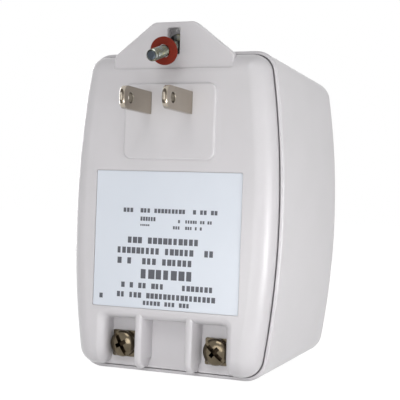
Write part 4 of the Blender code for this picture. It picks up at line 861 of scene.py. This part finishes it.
# Inner parts keep their CAD solids. Each row: what it is, two colours, roughness, metallic, pattern, size, bump depth
innerLooks = {
    "laminationSteel": (("core_e_stack", "core_i_stack"), "#8b8d93", "#5c5e66", (0.35, 0.55), 1.0, "Y", 0.5, 0.05),
    "plainSteelRivet": (("core_rivet_1", "core_rivet_2", "core_rivet_3", "core_rivet_4"), "#b9bbbd", "#8d9094",
                        (0.25, 0.45), 1.0, "NOISE", 0.6, 0.01),
    "enamelledCopper": (("primary_winding", "secondary_winding"), "#b0643a", "#6f3419", (0.25, 0.4), 0.7,
                        "X", 0.45, 0.12),
    "polyesterTape": (("primary_tape", "secondary_tape"), "#d9b53a", "#c7a02c", (0.25, 0.4), 0.0, "NOISE", 6.0, 0.01),
    "naturalNylon": (("bobbin",), "#d8d6cb", "#c9c6b8", (0.4, 0.55), 0.0, "NOISE", 5.0, 0.01),
    "turnedBrass": (("terminal_nut_left", "terminal_nut_right"), "#c9a35c", "#a58242", (0.2, 0.36), 1.0,
                    "NOISE", 0.5, 0.008),
    "tinnedCan": (("thermal_cutoff",), "#bfc0bd", "#9c9d99", (0.25, 0.45), 1.0, "NOISE", 0.8, 0.008),
    "dippedEpoxy": (("resettable_fuse",), "#c98a2e", "#b57520", (0.3, 0.45), 0.0, "NOISE", 2.0, 0.03),
    "fishPaper": (("insulation_card",), "#a9ada5", "#969a91", (0.7, 0.85), 0.0, "NOISE", 0.3, 0.02),
    "blackPvc": (("primary_lead_left",), "#242424", "#1a1a1a", (0.4, 0.55), 0.0, "NOISE", 0.8, 0.01),
    "whitePvc": (("primary_lead_right",), "#dcdbd5", "#cfcec6", (0.4, 0.55), 0.0, "NOISE", 0.8, 0.01),
    "greyPvc": (("secondary_lead_left", "secondary_lead_right", "fuse_link"), "#8f9093", "#808185", (0.4, 0.55), 0.0,
                "NOISE", 0.8, 0.01)}


def makeInnerLook(name, look):
    nodes, light, dark, rough, metallic, pattern, size, depth = look
    finish, tree, spot = startFinish(name, rough[0], metallic)
    if pattern == "NOISE":
        marks = addNode(tree, "TexNoise", Vector=spot, Scale=perMm(size), Detail=3.0)
    else:  # sheet edges of the core, or turns of wire, one band each
        marks = addNode(tree, "TexWave", {"wave_type": "BANDS", "bands_direction": pattern}, "Fac", Vector=spot,
                        Scale=math.pi / 10 / (size * mm), Distortion=0.0)
    wire(tree, addNode(tree, "Mix", colourMix, 2, _0=marks, _6=dark, _7=light),
         addNode(tree, "MapRange", Value=marks, To_Min=rough[1], To_Max=rough[0]),
         addNode(tree, "Bump", Height=marks, Distance=depth * mm))
    for node in nodes:
        for place in frame["nodes"][node].material_slots:
            place.material = finish


for lookName, look in innerLooks.items():
    makeInnerLook(lookName, look)
print("inner parts finished")


# Stage: pale floor, soft lamps, white surroundings
stage = {"floorZ": -78.05, "floorSize": 6000, "floorPaint": "#f2f2f2", "floorRough": 0.9, "floorShare": 0.85,
         "floorWhite": 1.13, "worldAmbient": 0.28}
lamps = [  # place, aimed at, size in mm, watts
    ((30, -340, 320), (0, 10, -20), 260, 0.63),  # large soft lamp above the camera
    ((100, -440, 0), (0, 10, -20), 240, 0.16),  # weak fill at the object's height
    ((300, -60, -60), (32, 20, -35), 240, 0.25),  # side lamp for the housing's right face
    ((170, -35, -71), (33, 30, -50), 80, 0.14),  # low cards that lift the lower edges
    ((5, -110, -72), (0, 0, -70), 80, 0.052),
    ((-420, 260, 60), (-30, 30, -30), 300, 0.9),  # left and rear fill
    ((-260, 600, 80), (0, 60, -30), 300, 1.15)]


def seenRays(tree):  # 1 for what the camera, a mirror or glass sees directly
    ray = addNode(tree, "LightPath", give=None)
    seen = addNode(tree, "Math", {"operation": "MAXIMUM"}, _0=ray["Is Camera Ray"], _1=ray["Is Glossy Ray"])
    return addNode(tree, "Math", {"operation": "MAXIMUM"}, _0=seen, _1=ray["Is Transmission Ray"])


def makeStage():
    startFresh()
    bpy.ops.mesh.primitive_plane_add(size=stage["floorSize"] * mm, location=(0, 0, stage["floorZ"] * mm))
    floor = settle(bpy.context.object, "paleFloor")
    paint = bpy.data.materials.new("paleMattPaint")
    paint.use_nodes = True
    tree = paint.node_tree
    shader = tree.nodes["Principled BSDF"]
    shader.inputs["Base Color"].default_value = linear(stage["floorPaint"])
    shader.inputs["Roughness"].default_value = stage["floorRough"]
    share = addNode(tree, "Math", {"operation": "MULTIPLY"}, _0=seenRays(tree), _1=stage["floorShare"])
    glow = addNode(tree, "Emission", Color="#ffffff", Strength=stage["floorWhite"])
    both = addNode(tree, "MixShader", _0=share, _1=shader.outputs[0], _2=glow)
    tree.links.new(both, tree.nodes["Material Output"].inputs["Surface"])
    floor.data.materials.append(paint)

    world = bpy.data.worlds.new("whiteRoom")
    bpy.context.scene.world = world
    world.use_nodes = True
    tree = world.node_tree
    back = tree.nodes["Background"]
    back.inputs["Color"].default_value = (1, 1, 1, 1)
    tree.links.new(addNode(tree, "MapRange", Value=seenRays(tree), To_Min=stage["worldAmbient"], To_Max=1.0),
                   back.inputs["Strength"])

    for place, aim, size, watts in lamps:
        startFresh()
        bpy.ops.object.light_add(type="AREA", location=[v * mm for v in place])
        lamp = bpy.context.object
        lamp.data.shape = "DISK"
        lamp.data.size = size * mm
        lamp.data.energy = watts
        lamp.rotation_euler = (Vector(aim) - Vector(place)).to_track_quat("-Z", "Y").to_euler()
    bpy.context.scene.view_settings.view_transform = "Standard"


makeStage()
print("stage lit")
